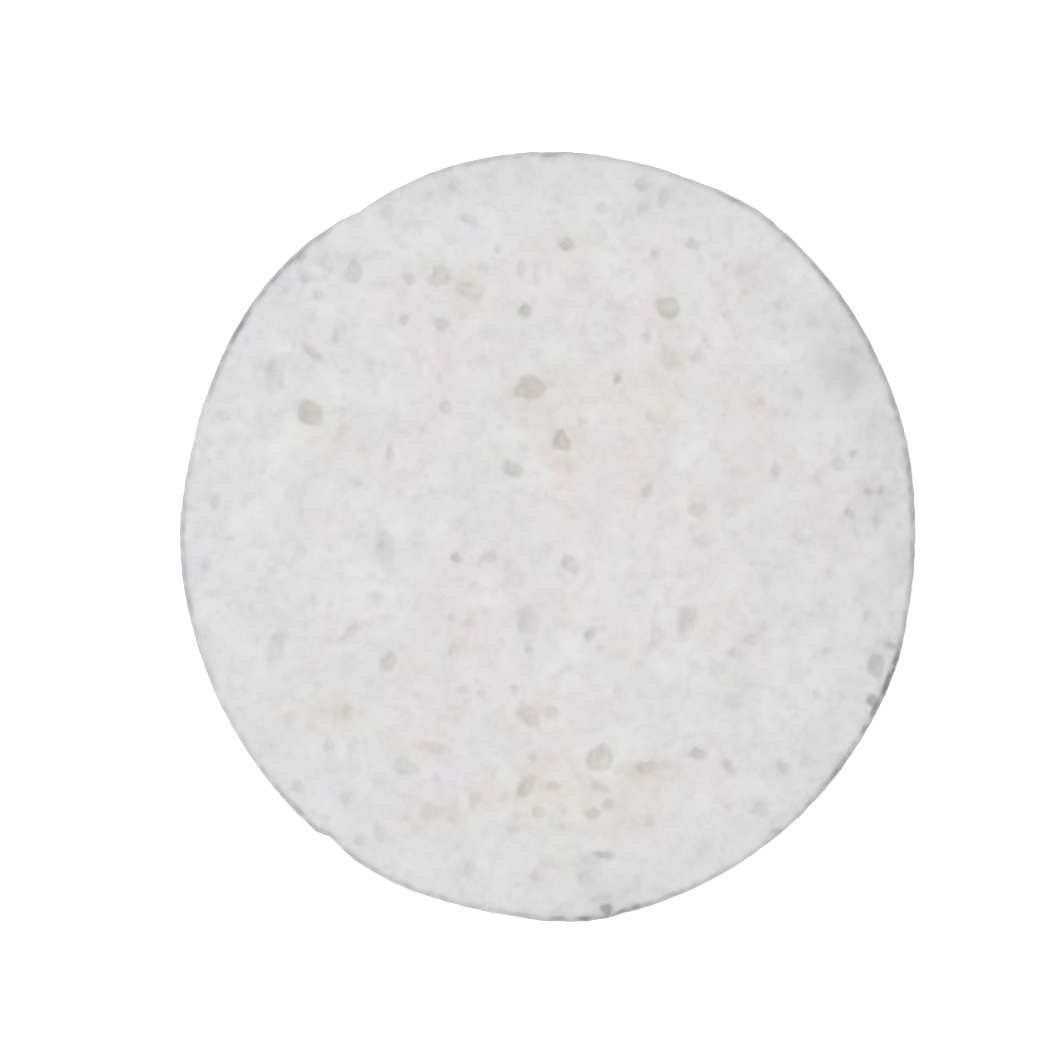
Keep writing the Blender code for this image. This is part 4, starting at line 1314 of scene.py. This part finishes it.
def pressed_cellulose():
    """Dry cellulose: off-white, faintly mottled, with fine closed cells and painted shade along
    its edges.
    """
    material, nodes = new_material("pressed_cellulose")
    place = nodes.add("ShaderNodeTexCoord", None, None, "Object")
    flipped = scaled(nodes, place, -1.0)
    warm, pore, fray, dip = (attribute(nodes, name) for name in ("warm", "pore", "fray", "dip"))

    broad = lumps(nodes, place, BROAD_LUMP, detail=2.0) - NOISE_MIDDLE
    middling = lumps(nodes, place, MIDDLING_LUMP, detail=3.0) - NOISE_MIDDLE
    fine = lumps(nodes, place, FINE_LUMP, detail=3.0) - NOISE_MIDDLE
    patches = patch(nodes, place, LARGE_PATCH) + patch(nodes, flipped, SMALL_PATCH)
    cells = closed_cells(nodes, flipped, CELL_SIZE)
    clouds = broad * BROAD_MOTTLING + middling * MIDDLING_MOTTLING - patches * PATCH_MOTTLING
    # Painted shade darkens the soft dips
    clouds = clouds - cells * CELL_MOTTLING - dip * DIP_SHADE
    level = MEAN_LEVEL + clouds + fine * (FINE_MOTTLING + fray * FRAYED_MOTTLING)

    hues = colour_lumps(nodes, place, HUE_LUMP, HUE_SPREAD + warm * WARM_HUE_SPREAD)
    shade = multiplied(nodes, combined(nodes, level, level, level), hues)
    stained = multiplied(nodes, shade, attribute(nodes, "tint", "Color"))
    colour = multiplied(nodes, stained, (*CELLULOSE, 1.0))

    height = fine * FINE_RELIEF + middling * MIDDLING_RELIEF + pore * fine * PORE_RELIEF
    bump = {"Height": height, "Strength": RELIEF_STRENGTH, "Distance": RELIEF_HEIGHT}
    sockets = {
        "Base Color": colour,
        "Roughness": CELLULOSE_ROUGHNESS + fine * ROUGHNESS_SPREAD,
        "Normal": nodes.add("ShaderNodeBump", None, bump),
        "Specular IOR Level": CELLULOSE_GLOSS,
    }
    principled(nodes, sockets)
    return material


def bleached_fibre():
    """The loose fibres: whiter than the cellulose that they lie on."""
    material, nodes = new_material("bleached_fibre")
    place = nodes.add("ShaderNodeTexCoord", None, None, "Object")
    level = FIBRE_LEVEL + lumps(nodes, place, FIBRE_LEVEL_LUMP, detail=1.0) * FIBRE_LEVEL_SPREAD
    rough = lumps(nodes, place, FIBRE_ROUGHNESS_LUMP, detail=1.0)
    sockets = {
        "Base Color": combined(nodes, level, level, level * FIBRE_BLUE),
        "Roughness": FIBRE_ROUGHNESS + rough * ROUGHNESS_SPREAD,
        "Specular IOR Level": FIBRE_GLOSS,
    }
    principled(nodes, sockets)
    return material


def pale_floor():
    """The floor's plain pale finish."""
    material, nodes = new_material("pale_floor")
    sockets = {
        "Base Color": (*FLOOR_COLOUR, 1.0),
        "Roughness": FLOOR_ROUGHNESS,
        "Specular IOR Level": FLOOR_GLOSS,
        "Emission Color": WHITE,
        "Emission Strength": FLOOR_GLOW,
    }
    principled(nodes, sockets)
    return material


def make_stage():
    """A plain pale floor, a soft light overhead and an even sky."""
    mesh = bpy.data.meshes.new("floor")
    corners = [(-1, -1), (1, -1), (1, 1), (-1, 1)]
    points = [(x * FLOOR_HALF, y * FLOOR_HALF, -FLOOR_GAP) for x, y in corners]
    mesh.from_pydata(points, [], [(0, 1, 2, 3)])
    mesh.materials.append(pale_floor())
    floor = new_object("floor", mesh)

    light = bpy.data.lights.new("key", "AREA")
    light.shape = "DISK"
    light.size = KEY_SIZE
    light.energy = KEY_POWER
    key = new_object("key", light)
    key.location = KEY_PLACE
    key.rotation_euler = Vector(KEY_PLACE).to_track_quat("Z", "Y").to_euler()

    world = bpy.data.worlds.new("sky")
    world.use_nodes = True
    sky = world.node_tree.nodes["Background"].inputs
    sky["Color"].default_value = WHITE
    sky["Strength"].default_value = SKY_LIGHT
    bpy.context.scene.world = world
    bpy.context.scene.view_settings.view_transform = "Standard"


def make_camera():
    """Looks straight down, with the photograph's framing at the height of the cut edge."""
    camera = new_object("camera", bpy.data.cameras.new("camera"))
    camera.data.lens = LENS_MM
    camera.data.sensor_width = SENSOR_MM
    distance = FRAME_WIDTH * LENS_MM / SENSOR_MM
    camera.location = (*FRAME_MIDDLE, THICKNESS - TOP_ROUNDING + distance)
    bpy.context.scene.camera = camera


cellulose = pressed_cellulose()
disc = make_disc()
dent_surface(disc, cellulose)
fibres = make_fibres(disc, bleached_fibre())
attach(disc, "root")
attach(fibres, "root")
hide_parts("sponge")
make_stage()
make_camera()
